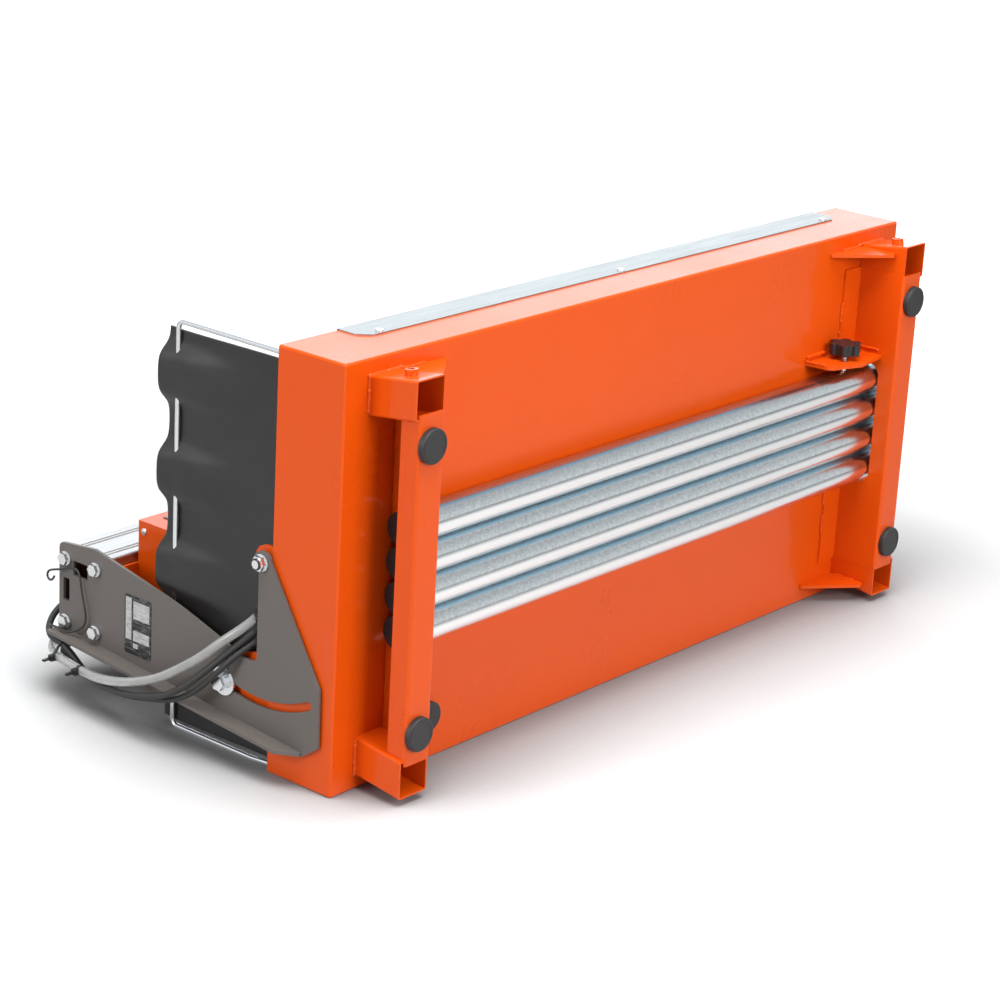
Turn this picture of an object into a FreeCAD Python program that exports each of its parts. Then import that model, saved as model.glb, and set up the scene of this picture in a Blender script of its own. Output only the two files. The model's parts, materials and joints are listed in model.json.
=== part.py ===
import FreeCAD, Part
import math
import os

# Bridge tile saw, lying on one long side as it is carried and stored.
# +Z is up. X runs along the machine from its near end, the machine's own "up"
# (pan, table, blade, rail) runs along +Y, and its width stands along Z.
# Lengths are in millimetres. Everything is drawn from the near, lower corner of
# the pan, and the whole is moved to its origin just before it is written.

V = FreeCAD.Vector
os.makedirs("parts", exist_ok=True)
nodes = {}

# ---------------------------------------------------------------- driving sizes
length = 1060.0             # pan, end to end
width = 500.0               # pan, side to side
mid_z = width / 2           # the blade's plane, which bridge and head keep their places from
depth = 98.0                # pan, floor to open rim
pan_sheet = 2.0
pan_corner = 3.0            # outside bend of the pan

fit_clearance = 0.05        # radial, between a shaft and its bore
touch_gap = 0.3             # between curved faces of different bodies
slide_gap = 1.5             # between the end brackets and the pan's ends

table_sheet = 3.0
table_rise = 11.0           # table top above the pan's rim
table_margin = 30.0         # table edge to the pan's ends
table_side_gap = 12.0
table_post_inset = 90.0

leg_diameter = 40.0
leg_wall = 1.5
leg_length = 935.0
leg_start = 75.0            # near ends of the stowed legs, from the pan's end
leg_gap = 0.4
leg_lift = 3.0              # stowed legs clear of the pan's floor
leg_stack_drop = 5.0        # stack centre below the middle of the width

foot_rail_sheet = 3.0
foot_rail_height = 70.0
foot_rail_edge = 42.5       # outer edge of the foot rail from the pan's end
foot_rail_flange = 40.5
foot_rail_seat = 35.0       # flange that is welded to the pan
foot_rail_lip = 26.0

socket_room = 0.6           # round a leg, inside its socket
socket_wall = 1.9
socket_outer = leg_diameter + 2 * (socket_room + socket_wall)
socket_reach = 68.0
socket_splay = 7.5          # degrees, outwards
socket_inset = 41.0         # socket centre at the pan from the pan's long side
socket_edge = 37.5          # socket's outer side from the pan's end

foot_diameter = 40.0
foot_thickness = 7.0
foot_inset = 84.0

bracket_sheet = 4.0
bracket_flange = 22.0
pivot_pin = 10.0
clamp_pin = 10.0
clamp_radius = 166.0        # clamp pin from the pivot
clamp_angle = -71.0         # clamp pin's direction from +Y, towards +Z
bevel_range = 45.0
bevel_spare = 1.5           # degrees of slot past each stop

beam_height = 73.0
beam_width = 104.0
beam_wall = 3.2
beam_low_y = 367.0          # face towards the table
beam_low_z = mid_z - 175.0
beam_slot = 34.0
beam_corner = 3.0
beam_boss = 7.0
beam_screw = 8.0
beam_screw_inset_y = 10.5
beam_screw_inset_z = 12.5

wheel_radius = 11.0
wheel_width = 9.0
axle_radius = 4.0
wheel_inset = 5.5           # wheel's inner face from the slot's edge, inside the beam

blade_diameter = 250.0
blade_body = 1.8
blade_rim = 2.4
blade_bore = 25.4
blade_dip = 12.0            # blade below the table top
blade_start = 165.0         # blade centre from the pan's near end, head parked
head_travel = 690.0
guard_gap = 12.0
guard_motor_side = 10.5     # guard's face from the blade's middle, towards the motor
guard_nut_side = 20.0       # and over the blade's nut
guard_sheet = 2.0

head_start = 45.0
head_length = 230.0
head_low_z = mid_z - 188.0
head_high_z = mid_z - 30.0
head_low_y = 300.0
head_sheet = 2.5
head_gap = 5.0              # head box below the beam
motor_radius = 55.0
motor_low_z = mid_z - 184.0
motor_high_z = mid_z - 24.0

wire_radius = 3.0
bail_reach = 263.0
bail_x = 10.0
bail_low_z = 3.0
bail_high_z = width - 11.0
flap_thickness = 3.0
flap_reach = 284.0
flap_low_z = 14.0
flap_high_z = width - 22.0
flap_room = 2.5             # flap behind the wire bail

# ------------------------------------------------------------------ worked out
table_top = depth + table_rise
pivot_y = table_top
pivot_z = mid_z
clamp_y = pivot_y + clamp_radius * math.cos(math.radians(clamp_angle))
clamp_z = pivot_z + clamp_radius * math.sin(math.radians(clamp_angle))
leg_radius = leg_diameter / 2
leg_y = -(leg_lift + leg_radius)
leg_pitch = leg_diameter + leg_gap
leg_stack_z = mid_z - leg_stack_drop
leg_centres = [leg_stack_z + (i - 1.5) * leg_pitch for i in range(4)]
beam_high_y = beam_low_y + beam_height
beam_high_z = beam_low_z + beam_width
beam_mid_z = (beam_low_z + beam_high_z) / 2
beam_start = -slide_gap
beam_end = length + slide_gap
blade_radius = blade_diameter / 2
blade_y = table_top - blade_dip + blade_radius
head_high_y = beam_low_y - head_gap
head_end = head_start + head_length
wheel_y = beam_low_y + beam_wall + touch_gap + wheel_radius
rail_web_x = foot_rail_edge + foot_rail_flange


# --------------------------------------------------------------------- helpers
def box(x0, x1, y0, y1, z0, z1):
    return Part.makeBox(x1 - x0, y1 - y0, z1 - z0, V(x0, y0, z0))


def rod_x(x0, x1, y, z, radius):
    return Part.makeCylinder(radius, x1 - x0, V(x0, y, z), V(1, 0, 0))


def rod_y(y0, y1, x, z, radius):
    return Part.makeCylinder(radius, y1 - y0, V(x, y0, z), V(0, 1, 0))


def rod_z(z0, z1, x, y, radius):
    return Part.makeCylinder(radius, z1 - z0, V(x, y, z0), V(0, 0, 1))


def soften(shape, radius, pick):
    """Round the edges that pick chooses."""
    return shape.makeFillet(radius, [edge for edge in shape.Edges if pick(edge)])


def hexagon_x(x0, x1, y, z, across):
    corner = across / math.sqrt(3)
    points = []
    for i in range(6):
        turn = math.radians(60 * i)
        points.append(V(x0, y + corner * math.cos(turn), z + corner * math.sin(turn)))
    return Part.Face(Part.makePolygon(points + points[:1])).extrude(V(x1 - x0, 0, 0))


def ring_x(x0, x1, y, z, outer, inner):
    return rod_x(x0, x1, y, z, outer).cut(rod_x(x0 - 1, x1 + 1, y, z, inner))


def round_corner(before, point, after, radius):
    """Start, middle and end of the arc that rounds one corner of a path."""
    back = (before - point).normalize()
    ahead = (after - point).normalize()
    half_turn = (math.pi - back.getAngle(ahead)) / 2
    reach = radius * math.tan(half_turn)
    inward = (back + ahead).normalize()
    centre = point + inward * (radius / math.cos(half_turn))
    return point + back * reach, centre - inward * radius, point + ahead * reach


def rounded_face(corners, place):
    """Closed outline of (a, b, radius) corners; place turns (a, b) into a point."""
    points = [place(a, b) for a, b, _ in corners]
    edges = []
    starts = []
    ends = []
    for i, (_, _, radius) in enumerate(corners):
        point = points[i]
        if radius == 0:
            starts.append(point)
            ends.append(point)
            continue
        after = points[(i + 1) % len(points)]
        start, middle, end = round_corner(points[i - 1], point, after, radius)
        edges.append((i, Part.Arc(start, middle, end).toShape()))
        starts.append(start)
        ends.append(end)
    arcs = dict(edges)
    chain = []
    for i in range(len(points)):
        if i in arcs:
            chain.append(arcs[i])
        chain.append(Part.makeLine(ends[i], starts[(i + 1) % len(points)]))
    return Part.Face(Part.Wire(chain))


def plate_x(corners, x0, x1):
    """Plate square to X from (y, z, radius) corners."""
    face = rounded_face(corners, lambda a, b: V(x0, a, b))
    return face.extrude(V(x1 - x0, 0, 0))


def plate_y(corners, y0, y1):
    """Plate square to Y from (x, z, radius) corners."""
    face = rounded_face(corners, lambda a, b: V(a, y0, b))
    return face.extrude(V(0, y1 - y0, 0))


def plate_z(corners, z0, z1):
    """Plate square to Z from (x, y, radius) corners."""
    face = rounded_face(corners, lambda a, b: V(a, b, z0))
    return face.extrude(V(0, 0, z1 - z0))


def rounded_box_corners(a0, a1, b0, b1, radius):
    return [(a0, b0, radius), (a1, b0, radius), (a1, b1, radius), (a0, b1, radius)]


def far_side(shape):
    """The same piece at the other end of the machine."""
    return shape.mirror(V(length / 2, 0, 0), V(1, 0, 0))


def upper_side(shape):
    """The same piece at the other side of the machine's width."""
    return shape.mirror(V(0, 0, mid_z), V(0, 0, 1))


def both_ends(shapes):
    return shapes + [far_side(shape) for shape in shapes]


def four_corners(shapes):
    ends = both_ends(shapes)
    return ends + [upper_side(shape) for shape in ends]


def add(name, *solids):
    shape = solids[0] if len(solids) == 1 else Part.makeCompound(list(solids))
    nodes[name] = shape
    return shape


# ------------------------------------------------------------- pan and its trim
drain_x = 152.0
drain_z = 57.0
drain_radius = 11.0
strip_start = 91.0
strip_end_gap = 55.0
strip_low_y = 58.0
strip_sheet = 1.5


def make_pan():
    outer = box(0, length, 0, depth, 0, width)
    outer = soften(outer, pan_corner, lambda e: e.BoundBox.YMin < 1)
    inner = box(pan_sheet, length - pan_sheet, pan_sheet, depth + 1, pan_sheet, width - pan_sheet)
    pan = outer.cut(inner)
    pan = pan.cut(rod_y(-1, pan_sheet + 1, drain_x, drain_z, drain_radius))
    add("pan", pan)


def make_side_strip():
    x0 = strip_start
    x1 = length - strip_end_gap
    cut = 14.0
    corners = [(x0, depth, 2), (x0, strip_low_y + cut, 4), (x0 + cut, strip_low_y, 4)]
    corners += [(x1 - cut, strip_low_y, 4), (x1, strip_low_y + cut, 4), (x1, depth, 2)]
    outside = plate_z(corners, width, width + strip_sheet)
    over_rim = box(x0, x1, depth, depth + strip_sheet, width - table_side_gap + 2, width + strip_sheet)
    add("side_strip", outside.fuse(over_rim).removeSplitter())
    screws = []
    for x in (strip_start + 30, strip_start + 457, length - strip_end_gap - 28):
        head = rod_z(width + strip_sheet, width + strip_sheet + 2.2, x, strip_low_y + 6, 4.5)
        screws.append(soften(head, 1.0, lambda e: e.BoundBox.ZMin > width + strip_sheet + 1))
    add("strip_screws", *screws)


def make_drain():
    inside = pan_sheet + 3.0
    collar = rod_y(-2.5, 0, drain_x, drain_z, drain_radius + 3)
    neck = rod_y(0, pan_sheet, drain_x, drain_z, drain_radius)
    nut = rod_y(pan_sheet, inside, drain_x, drain_z, drain_radius + 4)
    bush = collar.fuse([neck, nut]).cut(rod_y(-3, inside + 1, drain_x, drain_z, drain_radius - 2.5))
    add("drain_bush", bush.removeSplitter())
    cap = rod_y(-10.5, -2.5 - touch_gap, drain_x, drain_z, 18)
    cap = soften(cap, 1.5, lambda e: e.BoundBox.YMax < -10)
    stem = rod_y(-2.5 - touch_gap, inside, drain_x, drain_z, drain_radius - 2.5 - touch_gap)
    add("drain_plug", cap.fuse(stem).removeSplitter())


# -------------------------------------------------- pivot plates, pins and slot
ear_start = pan_sheet
ear_end = ear_start + 4.0
plate_outer = -slide_gap - bracket_sheet
washer_gap = 0.1


def ear_plate():
    corners = [(50, 62, 4), (clamp_y - 40, 62, 6), (clamp_y + 21, clamp_z - 18, 10)]
    corners += [(clamp_y + 21, clamp_z + 14, 12), (clamp_y - 13, clamp_z + 36, 8)]
    corners += [(clamp_y - 48, clamp_z + 47, 4), (depth - 3, clamp_z + 62, 4)]
    corners += [(depth - 3, pivot_z - 22, 4), (pivot_y, pivot_z - 17, 6)]
    corners += [(pivot_y + 17, pivot_z - 17, 16), (pivot_y + 17, pivot_z + 17, 16)]
    corners += [(depth - 6, pivot_z + 19, 6), (50, pivot_z + 26, 4)]
    plate = plate_x(corners, ear_start, ear_end)
    plate = plate.cut(rod_x(ear_start - 1, ear_end + 1, pivot_y, pivot_z, pivot_pin / 2 + fit_clearance))
    return plate.cut(rod_x(ear_start - 1, ear_end + 1, clamp_y, clamp_z, clamp_pin / 2 + fit_clearance))


def make_pivots():
    near = ear_plate()
    add("pivot_plate_near", near)
    add("pivot_plate_far", far_side(near))
    radius = pivot_pin / 2
    outer = plate_outer - washer_gap
    head = hexagon_x(ear_end, ear_end + 6.5, pivot_y, pivot_z, 16)
    shank = rod_x(outer - 11, ear_end, pivot_y, pivot_z, radius)
    bolt = head.fuse(shank).removeSplitter()
    washer = ring_x(outer - 1.6, outer, pivot_y, pivot_z, 10, radius + fit_clearance)
    nut = hexagon_x(outer - 7.6, outer - 1.6, pivot_y, pivot_z, 16)
    nut = nut.fuse(rod_x(outer - 10, outer - 7.6, pivot_y, pivot_z, 7.2))
    nut = nut.cut(rod_x(outer - 12, outer, pivot_y, pivot_z, radius + fit_clearance))
    spacer = ring_x(-slide_gap + washer_gap, ear_start, pivot_y, pivot_z, 10, radius + fit_clearance)
    add("pivot_bolts", *both_ends([bolt, washer, nut, spacer]))


def clamp_near():
    radius = clamp_pin / 2
    outer = plate_outer - washer_gap
    nut = hexagon_x(ear_end, ear_end + 7.5, clamp_y, clamp_z, 17)
    nut = nut.cut(rod_x(ear_end - 1, ear_end + 9, clamp_y, clamp_z, radius + fit_clearance))
    shank = rod_x(outer - 6, ear_end + 8.5, clamp_y, clamp_z, radius)
    head = hexagon_x(outer - 12.5, outer - 6, clamp_y, clamp_z, 17)
    bolt = shank.fuse(head).removeSplitter()
    wide = ring_x(outer - 2.5, outer, clamp_y, clamp_z, 17, radius + fit_clearance)
    spring = ring_x(outer - 6, outer - 2.5, clamp_y, clamp_z, 8.5, radius + fit_clearance)
    spacer = ring_x(-slide_gap + washer_gap, ear_start, clamp_y, clamp_z, 10, radius + fit_clearance)
    return [bolt, wide, spring, spacer, nut]


def star_knob(radius, lobe, thickness, lobes):
    """Star grip about the X axis, standing between x = 0 and x = thickness."""
    grip = rod_x(0, thickness, 0, 0, radius)
    for i in range(lobes):
        turn = 2 * math.pi * i / lobes
        grip = grip.fuse(rod_x(0, thickness, radius * math.cos(turn), radius * math.sin(turn), lobe))
    return grip.removeSplitter()


def make_clamps():
    radius = clamp_pin / 2
    knob_x = length - plate_outer + washer_gap
    nut = hexagon_x(length - ear_end - 8, length - ear_end, clamp_y, clamp_z, 17)
    nut = nut.cut(rod_x(length - ear_end - 9, length, clamp_y, clamp_z, radius + fit_clearance))
    spacer = ring_x(-slide_gap + washer_gap, ear_start, clamp_y, clamp_z, 10, radius + fit_clearance)
    spacer = far_side(spacer)
    add("clamp_hardware", *clamp_near(), nut, spacer)
    grip = star_knob(17, 6, 16, 6)
    grip.translate(V(knob_x + 2.5, clamp_y, clamp_z))
    collar = rod_x(knob_x, knob_x + 2.5, clamp_y, clamp_z, 12)
    grip = grip.fuse(collar).cut(rod_x(knob_x - 1, knob_x + 12, clamp_y, clamp_z, radius))
    add("bevel_knob", grip.removeSplitter())
    add("bevel_knob_screw", rod_x(length - ear_end - 12, knob_x + 12, clamp_y, clamp_z, radius))


# ------------------------------------------------------ swinging bridge brackets
hand_hole_y = (394.0, 419.0)
hand_hole_z = (mid_z - 103.0, mid_z - 84.5)
cable_slot_y = (425.5, 436.3)
cable_slot_z = (mid_z - 138.0, mid_z - 109.5)
nose_z = mid_z - 120.5      # bracket's upper edge where it runs out to the pivot
lower_edge = [(beam_high_y + 3.5, mid_z - 176.0), (39.0, mid_z - 210.0), (16.5, mid_z - 194.0)]


def bracket_outline():
    notch_y = pivot_y + 4.5
    corners = [(beam_high_y + 3.5, beam_high_z + 4, 8), (382, beam_high_z + 10.5, 14)]
    corners += [(240, nose_z + 32, 500), (136, nose_z, 12), (notch_y, nose_z, 7)]
    corners += [(notch_y, pivot_z + 4, 0), (pivot_y - 8, pivot_z + 10, 0)]
    corners += [(17.5, nose_z - 3.5, 6)]
    corners += [(y, z, 4) for y, z in reversed(lower_edge)]
    return corners


def arc_slot(half_width):
    """The slot that runs round the clamp pin while the bracket swings."""
    start = math.radians(clamp_angle - bevel_range - bevel_spare)
    end = math.radians(clamp_angle + bevel_spare)
    middle = (start + end) / 2
    x0 = plate_outer - 1

    def at(radius, turn):
        return V(x0, pivot_y + radius * math.cos(turn), pivot_z + radius * math.sin(turn))

    outer = clamp_radius + half_width
    inner = clamp_radius - half_width
    edges = [Part.Arc(at(outer, start), at(outer, middle), at(outer, end)).toShape()]
    edges.append(Part.makeLine(at(outer, end), at(inner, end)))
    edges.append(Part.Arc(at(inner, end), at(inner, middle), at(inner, start)).toShape())
    edges.append(Part.makeLine(at(inner, start), at(outer, start)))
    slot = Part.Face(Part.Wire(edges)).extrude(V(bracket_sheet + 2, 0, 0))
    for turn in (start, end):
        tip = at(clamp_radius, turn)
        slot = slot.fuse(rod_x(x0, x0 + bracket_sheet + 2, tip.y, tip.z, half_width))
    return slot


def beam_screw_centres():
    for y in (beam_low_y + beam_screw_inset_y, beam_high_y - beam_screw_inset_y):
        for z in (beam_low_z + beam_screw_inset_z, beam_high_z - beam_screw_inset_z):
            yield y, z


def bracket_plate():
    plate = plate_x(bracket_outline(), plate_outer, -slide_gap)
    plate = plate.fuse(rod_x(plate_outer, -slide_gap, pivot_y, pivot_z, 13))
    cutters = [arc_slot(clamp_pin / 2 + 0.2)]
    cutters.append(rod_x(plate_outer - 1, 0, pivot_y, pivot_z, pivot_pin / 2 + fit_clearance))
    for y, z in beam_screw_centres():
        cutters.append(rod_x(plate_outer - 1, 0, y, z, beam_screw / 2 + fit_clearance))
    corners = rounded_box_corners(*hand_hole_y, *hand_hole_z, 2)
    cutters.append(plate_x(corners, plate_outer - 1, 0))
    corners = rounded_box_corners(*cable_slot_y, *cable_slot_z, 2)
    cutters.append(plate_x(corners, plate_outer - 1, 0))
    plate = plate.cut(cutters)
    flange_back = plate_outer - bracket_flange
    (y0, z0), (y1, z1), _ = lower_edge
    slope = (z0 - z1) / (y0 - y1)
    start_y = y1 + 2
    end_y = y0 - 3
    points = [(start_y, z1 + slope * 2), (end_y, z0 - slope * 3)]
    rise = bracket_sheet
    outline = [V(0, y, z) for y, z in points] + [V(0, y, z + rise) for y, z in reversed(points)]
    flange = Part.Face(Part.makePolygon(outline + outline[:1])).extrude(V(-bracket_flange, 0, 0))
    flange.translate(V(plate_outer, 0, 0))
    trim = Part.Face(Part.makePolygon([
        V(flange_back - 1, start_y - 1, 0), V(plate_outer - 2, start_y - 1, 0),
        V(flange_back - 1, start_y + 24, 0), V(flange_back - 1, start_y - 1, 0)])).extrude(V(0, 0, mid_z))
    return plate.fuse(flange.cut(trim)).removeSplitter()


def make_brackets():
    near = bracket_plate()
    add("bracket_near", near)
    add("bracket_far", far_side(near))
    heads = []
    for y, z in beam_screw_centres():
        head = hexagon_x(plate_outer - 9, plate_outer - 3.5, y, z, 13)
        washer = rod_x(plate_outer - 3.5, plate_outer, y, z, 8.5)
        shank = rod_x(plate_outer, 22, y, z, beam_screw / 2)
        heads.append(head.fuse([washer, shank]).removeSplitter())
    add("beam_bolts", *both_ends(heads))


def make_beam():
    outline = rounded_box_corners(beam_low_y, beam_high_y, beam_low_z, beam_high_z, beam_corner)
    beam = plate_x(outline, beam_start, beam_end)
    hollow = box(beam_start - 1, beam_end + 1, beam_low_y + beam_wall, beam_high_y - beam_wall,
                 beam_low_z + beam_wall, beam_high_z - beam_wall)
    boss_y = beam_screw_inset_y + beam_boss
    boss_z = beam_screw_inset_z + beam_boss
    for y, z in beam_screw_centres():
        side_y = beam_low_y if y < beam_low_y + beam_height / 2 else beam_high_y - boss_y
        side_z = beam_low_z if z < beam_mid_z else beam_high_z - boss_z
        boss = box(beam_start - 2, beam_end + 2, side_y, side_y + boss_y, side_z, side_z + boss_z)
        hollow = hollow.cut(boss)
    slot = box(beam_start - 1, beam_end + 1, beam_low_y - 1, beam_low_y + beam_wall + 1,
               beam_mid_z - beam_slot / 2, beam_mid_z + beam_slot / 2)
    cutters = [hollow, slot]
    for y, z in beam_screw_centres():
        cutters.append(rod_x(beam_start - 1, 24, y, z, beam_screw / 2 + fit_clearance))
        cutters.append(rod_x(length - 24, beam_end + 1, y, z, beam_screw / 2 + fit_clearance))
    add("rail_beam", beam.cut(cutters).removeSplitter())


plate_label = [(284.5, mid_z - 171.5), (328.5, mid_z - 99.0)]


def make_label():
    (y0, z0), (y1, z1) = plate_label
    thickness = 0.8
    corners = rounded_box_corners(y0, y1, z0, z1, 3)
    label = plate_x(corners, plate_outer - thickness, plate_outer)
    rivet = rod_x(plate_outer - 2, plate_outer - thickness, y0 + 24, z0 + 6, 2.5)
    add("type_plate", label, rivet)


# ---------------------------------------------------------------- travelling head
wheel_stations = (head_start + 40, head_end - 50)
bumper_start = 14.0


def make_trolley():
    plate_low = head_high_y
    plate_high = head_high_y + 3.5
    plate = box(bumper_start, head_end + 11, plate_low, plate_high, beam_mid_z - 39, beam_mid_z + 40)
    half = beam_slot / 2 - 3
    for x in wheel_stations:
        cheek = box(x - 14, x + 14, plate_high, wheel_y, beam_mid_z - half, beam_mid_z + half)
        top = rod_z(beam_mid_z - half, beam_mid_z + half, x, wheel_y, 9)
        block = cheek.fuse(top)
        block = block.cut(box(x - 15, x - 9, plate_high + 3, wheel_y + 1, 0, width))
        block = block.cut(box(x + 9, x + 15, plate_high + 3, wheel_y + 1, 0, width))
        plate = plate.fuse(block)
    for x in wheel_stations:
        plate = plate.cut(rod_z(0, width, x, wheel_y, axle_radius + fit_clearance))
    add("trolley", plate.removeSplitter())
    inner = beam_slot / 2 + wheel_inset - 3
    for name, x in zip(("wheelset_near", "wheelset_far"), wheel_stations):
        outer = inner + wheel_width
        axle = rod_z(beam_mid_z - outer - 2, beam_mid_z + outer + 2, x, wheel_y, axle_radius)
        low = rod_z(beam_mid_z - outer, beam_mid_z - inner, x, wheel_y, wheel_radius)
        high = rod_z(beam_mid_z + inner, beam_mid_z + outer, x, wheel_y, wheel_radius)
        add(name, axle.fuse([low, high]).removeSplitter())


foot_corner = (blade_start - 50, blade_start + 50)
foot_span_z = (mid_z - 165.0, mid_z - 55.0)


def make_head_box():
    outer = box(head_start, head_end, head_low_y, head_high_y, head_low_z, head_high_z)
    inner = box(head_start + head_sheet, head_end - head_sheet, head_low_y - 1, head_high_y - head_sheet,
                head_low_z + head_sheet, head_high_z - head_sheet)
    add("head_box", outer.cut(inner))


def make_motor():
    body = rod_z(motor_low_z, motor_high_z, blade_start, blade_y, motor_radius)
    body = soften(body, 6, lambda e: e.BoundBox.ZLength < 1)
    foot = box(*foot_corner, blade_y + motor_radius - 20, head_high_y - head_sheet, *foot_span_z)
    nose = rod_z(motor_high_z, motor_high_z + 8, blade_start, blade_y, 24)
    body = body.fuse([foot, nose])
    cavity = rod_z(motor_low_z + 8, motor_high_z - 10, blade_start, blade_y, motor_radius - 10)
    bore = rod_z(motor_high_z - 11, motor_high_z + 9, blade_start, blade_y, 10 + fit_clearance)
    add("motor", body.cut([cavity, bore]).removeSplitter())
    cover = rod_z(motor_low_z - 16, motor_low_z, blade_start, blade_y, motor_radius - 3)
    add("fan_cover", soften(cover, 5, lambda e: e.BoundBox.ZMax < motor_low_z - 15))


def make_spindle():
    rotor = rod_z(motor_low_z + 14, motor_high_z - 16, blade_start, blade_y, motor_radius - 16)
    shaft = rod_z(motor_low_z + 12, mid_z + 16, blade_start, blade_y, 10)
    add("spindle", rotor.fuse(shaft).removeSplitter())
    bore = blade_bore / 2
    body = rod_z(mid_z - blade_body / 2, mid_z + blade_body / 2, blade_start, blade_y, blade_radius)
    rim = rod_z(mid_z - blade_rim / 2, mid_z + blade_rim / 2, blade_start, blade_y, blade_radius)
    rim = rim.cut(rod_z(0, width, blade_start, blade_y, blade_radius - 9))
    disc = body.fuse(rim).cut(rod_z(0, width, blade_start, blade_y, bore + fit_clearance))
    add("blade", disc.removeSplitter())
    half = blade_body / 2
    hole = rod_z(0, width, blade_start, blade_y, 10 + fit_clearance)
    inner = rod_z(mid_z - half - 5, mid_z - half, blade_start, blade_y, 27)
    pilot = rod_z(mid_z - half, mid_z + half, blade_start, blade_y, bore)
    outer = rod_z(mid_z + half, mid_z + half + 5, blade_start, blade_y, 27)
    corner = 30 / math.sqrt(3)
    points = [V(blade_start + corner * math.cos(math.radians(60 * i)),
                blade_y + corner * math.sin(math.radians(60 * i)), mid_z + half + 5) for i in range(7)]
    nut = Part.Face(Part.makePolygon(points)).extrude(V(0, 0, 8))
    add("blade_flanges", inner.fuse(pilot).cut(hole), outer.cut(hole), nut.cut(hole))


def make_guard():
    radius = blade_radius + guard_gap
    low = mid_z - guard_motor_side
    high = mid_z + guard_nut_side
    open_y = blade_y - 22

    shell = rod_z(low, high, blade_start, blade_y, radius)
    wide = 2 * radius
    below = box(blade_start - wide, blade_start + wide, blade_y - wide, open_y, low - 1, high + 1)
    hollow = rod_z(low + guard_sheet, high - guard_sheet, blade_start, blade_y, radius - guard_sheet)
    shell = shell.cut([below, hollow])
    shell = shell.cut(rod_z(low - 1, low + guard_sheet + 1, blade_start, blade_y, 32))
    shell = shell.cut(box(blade_start - 32, blade_start + 32, 0, blade_y, low - 1, low + guard_sheet + 1))
    arm = box(blade_start - 45, blade_start + 45, head_low_y + 6, head_low_y + 42, head_high_z, low)
    add("blade_guard", shell.fuse(arm).removeSplitter())


def make_handle():
    low_y = head_low_y + 8
    high_y = head_high_y - 6
    reach = 50.0
    corners = rounded_box_corners(head_end - 12, head_end + reach, low_y, high_y, 12)
    low_z = mid_z - 130
    high_z = low_z + 26
    loop = plate_z(corners, low_z, high_z)
    hole = rounded_box_corners(head_end + 4, head_end + reach - 18, low_y + 12, high_y - 12, 6)
    loop = loop.cut(plate_z(hole, low_z - 1, high_z + 1))
    loop = loop.cut(box(head_end - 20, head_end, low_y - 1, high_y + 1, low_z - 1, high_z + 1))
    add("head_handle", soften(loop, 3, lambda e: e.Length > 20 and e.BoundBox.ZLength < 1
                              and e.BoundBox.XMax > head_end + 1))


switch_y = (head_low_y + 14, head_low_y + 40)
switch_z = (mid_z - 74.0, mid_z - 44.0)
rocker_x = head_end + 9
rocker_pin = 1.5
rocker_pin_x = rocker_x + 1


def make_switch():
    case = box(head_end, head_end + 12, *switch_y, *switch_z)
    well = box(head_end + 3, head_end + 13, switch_y[0] + 4, switch_y[1] - 4,
               switch_z[0] + 4, switch_z[1] - 4)
    middle = (switch_z[0] + switch_z[1]) / 2
    pin_low = switch_y[0] + 2
    pin_high = switch_y[1] - 2
    bore = rod_y(pin_low - 0.2, pin_high + 0.2, rocker_pin_x, middle, rocker_pin + fit_clearance)
    add("switch_case", case.cut([well, bore]))
    half = (switch_z[1] - switch_z[0]) / 2 - 5.5
    low_y = switch_y[0] + 4 + touch_gap
    high_y = switch_y[1] - 4 - touch_gap
    profile = [V(rocker_x - 1, low_y, middle - half), V(rocker_x - 1, low_y, middle + half),
               V(rocker_x + 5, low_y, middle + half), V(rocker_x + 2.5, low_y, middle),
               V(rocker_x + 5, low_y, middle - half)]
    rocker = Part.Face(Part.makePolygon(profile + profile[:1])).extrude(V(0, high_y - low_y, 0))
    pin = rod_y(pin_low, pin_high, rocker_pin_x, middle, rocker_pin)
    add("switch_rocker", rocker.fuse(pin).removeSplitter())


# --------------------------------------------------------------- table and fence
def make_table():
    low = table_top - table_sheet
    corners = rounded_box_corners(table_margin, length - table_margin,
                                  table_side_gap, width - table_side_gap, 6)
    table = plate_y(corners, low, table_top)
    slot_start = blade_start - 62
    slot_end = blade_start + head_travel + 62
    corners = rounded_box_corners(slot_start, slot_end, mid_z - 13, mid_z + 6, 5)
    add("table", table.cut(plate_y(corners, low - 1, table_top + 1)).removeSplitter())
    bars = []
    for x in (table_margin + 2, length - table_margin - 16):
        bars.append(box(x, x + 14, depth - 14, low, table_side_gap, width - table_side_gap))
    for x in (table_margin + 9, length - table_margin - 9):
        for z in (table_post_inset, width - table_post_inset):
            bars.append(rod_y(pan_sheet, depth - 14, x, z, 7))
    add("table_supports", *bars)
    fence_x = length - 75
    bar = box(fence_x, fence_x + 24, table_top, table_top + 5, 24, width - 24)
    wall = box(fence_x, fence_x + 4, table_top, table_top + 25, 24, width - 24)
    gap = box(fence_x - 1, fence_x + 5, table_top + 5, table_top + 26, mid_z - 20, mid_z + 12)
    add("fence", bar.fuse(wall).cut(gap).removeSplitter())


def make_pump():
    x = 880.0
    body = soften(box(x, x + 72, pan_sheet, 52, 40, 96), 6, lambda e: e.BoundBox.YLength > 10)
    spout = rod_y(52, 66, x + 20, 68, 6)
    add("water_pump", body.fuse(spout).removeSplitter())


# -------------------------------------------------------------- splash flap, bail
def make_flap():
    x0 = bail_x + wire_radius + flap_room
    corners = [(depth - 60, flap_low_z, 4), (flap_reach, flap_low_z, 10)]
    corners += [(flap_reach, flap_high_z, 10), (depth - 60, flap_high_z, 4)]
    add("splash_flap", plate_x(corners, x0, x0 + flap_thickness))


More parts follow.
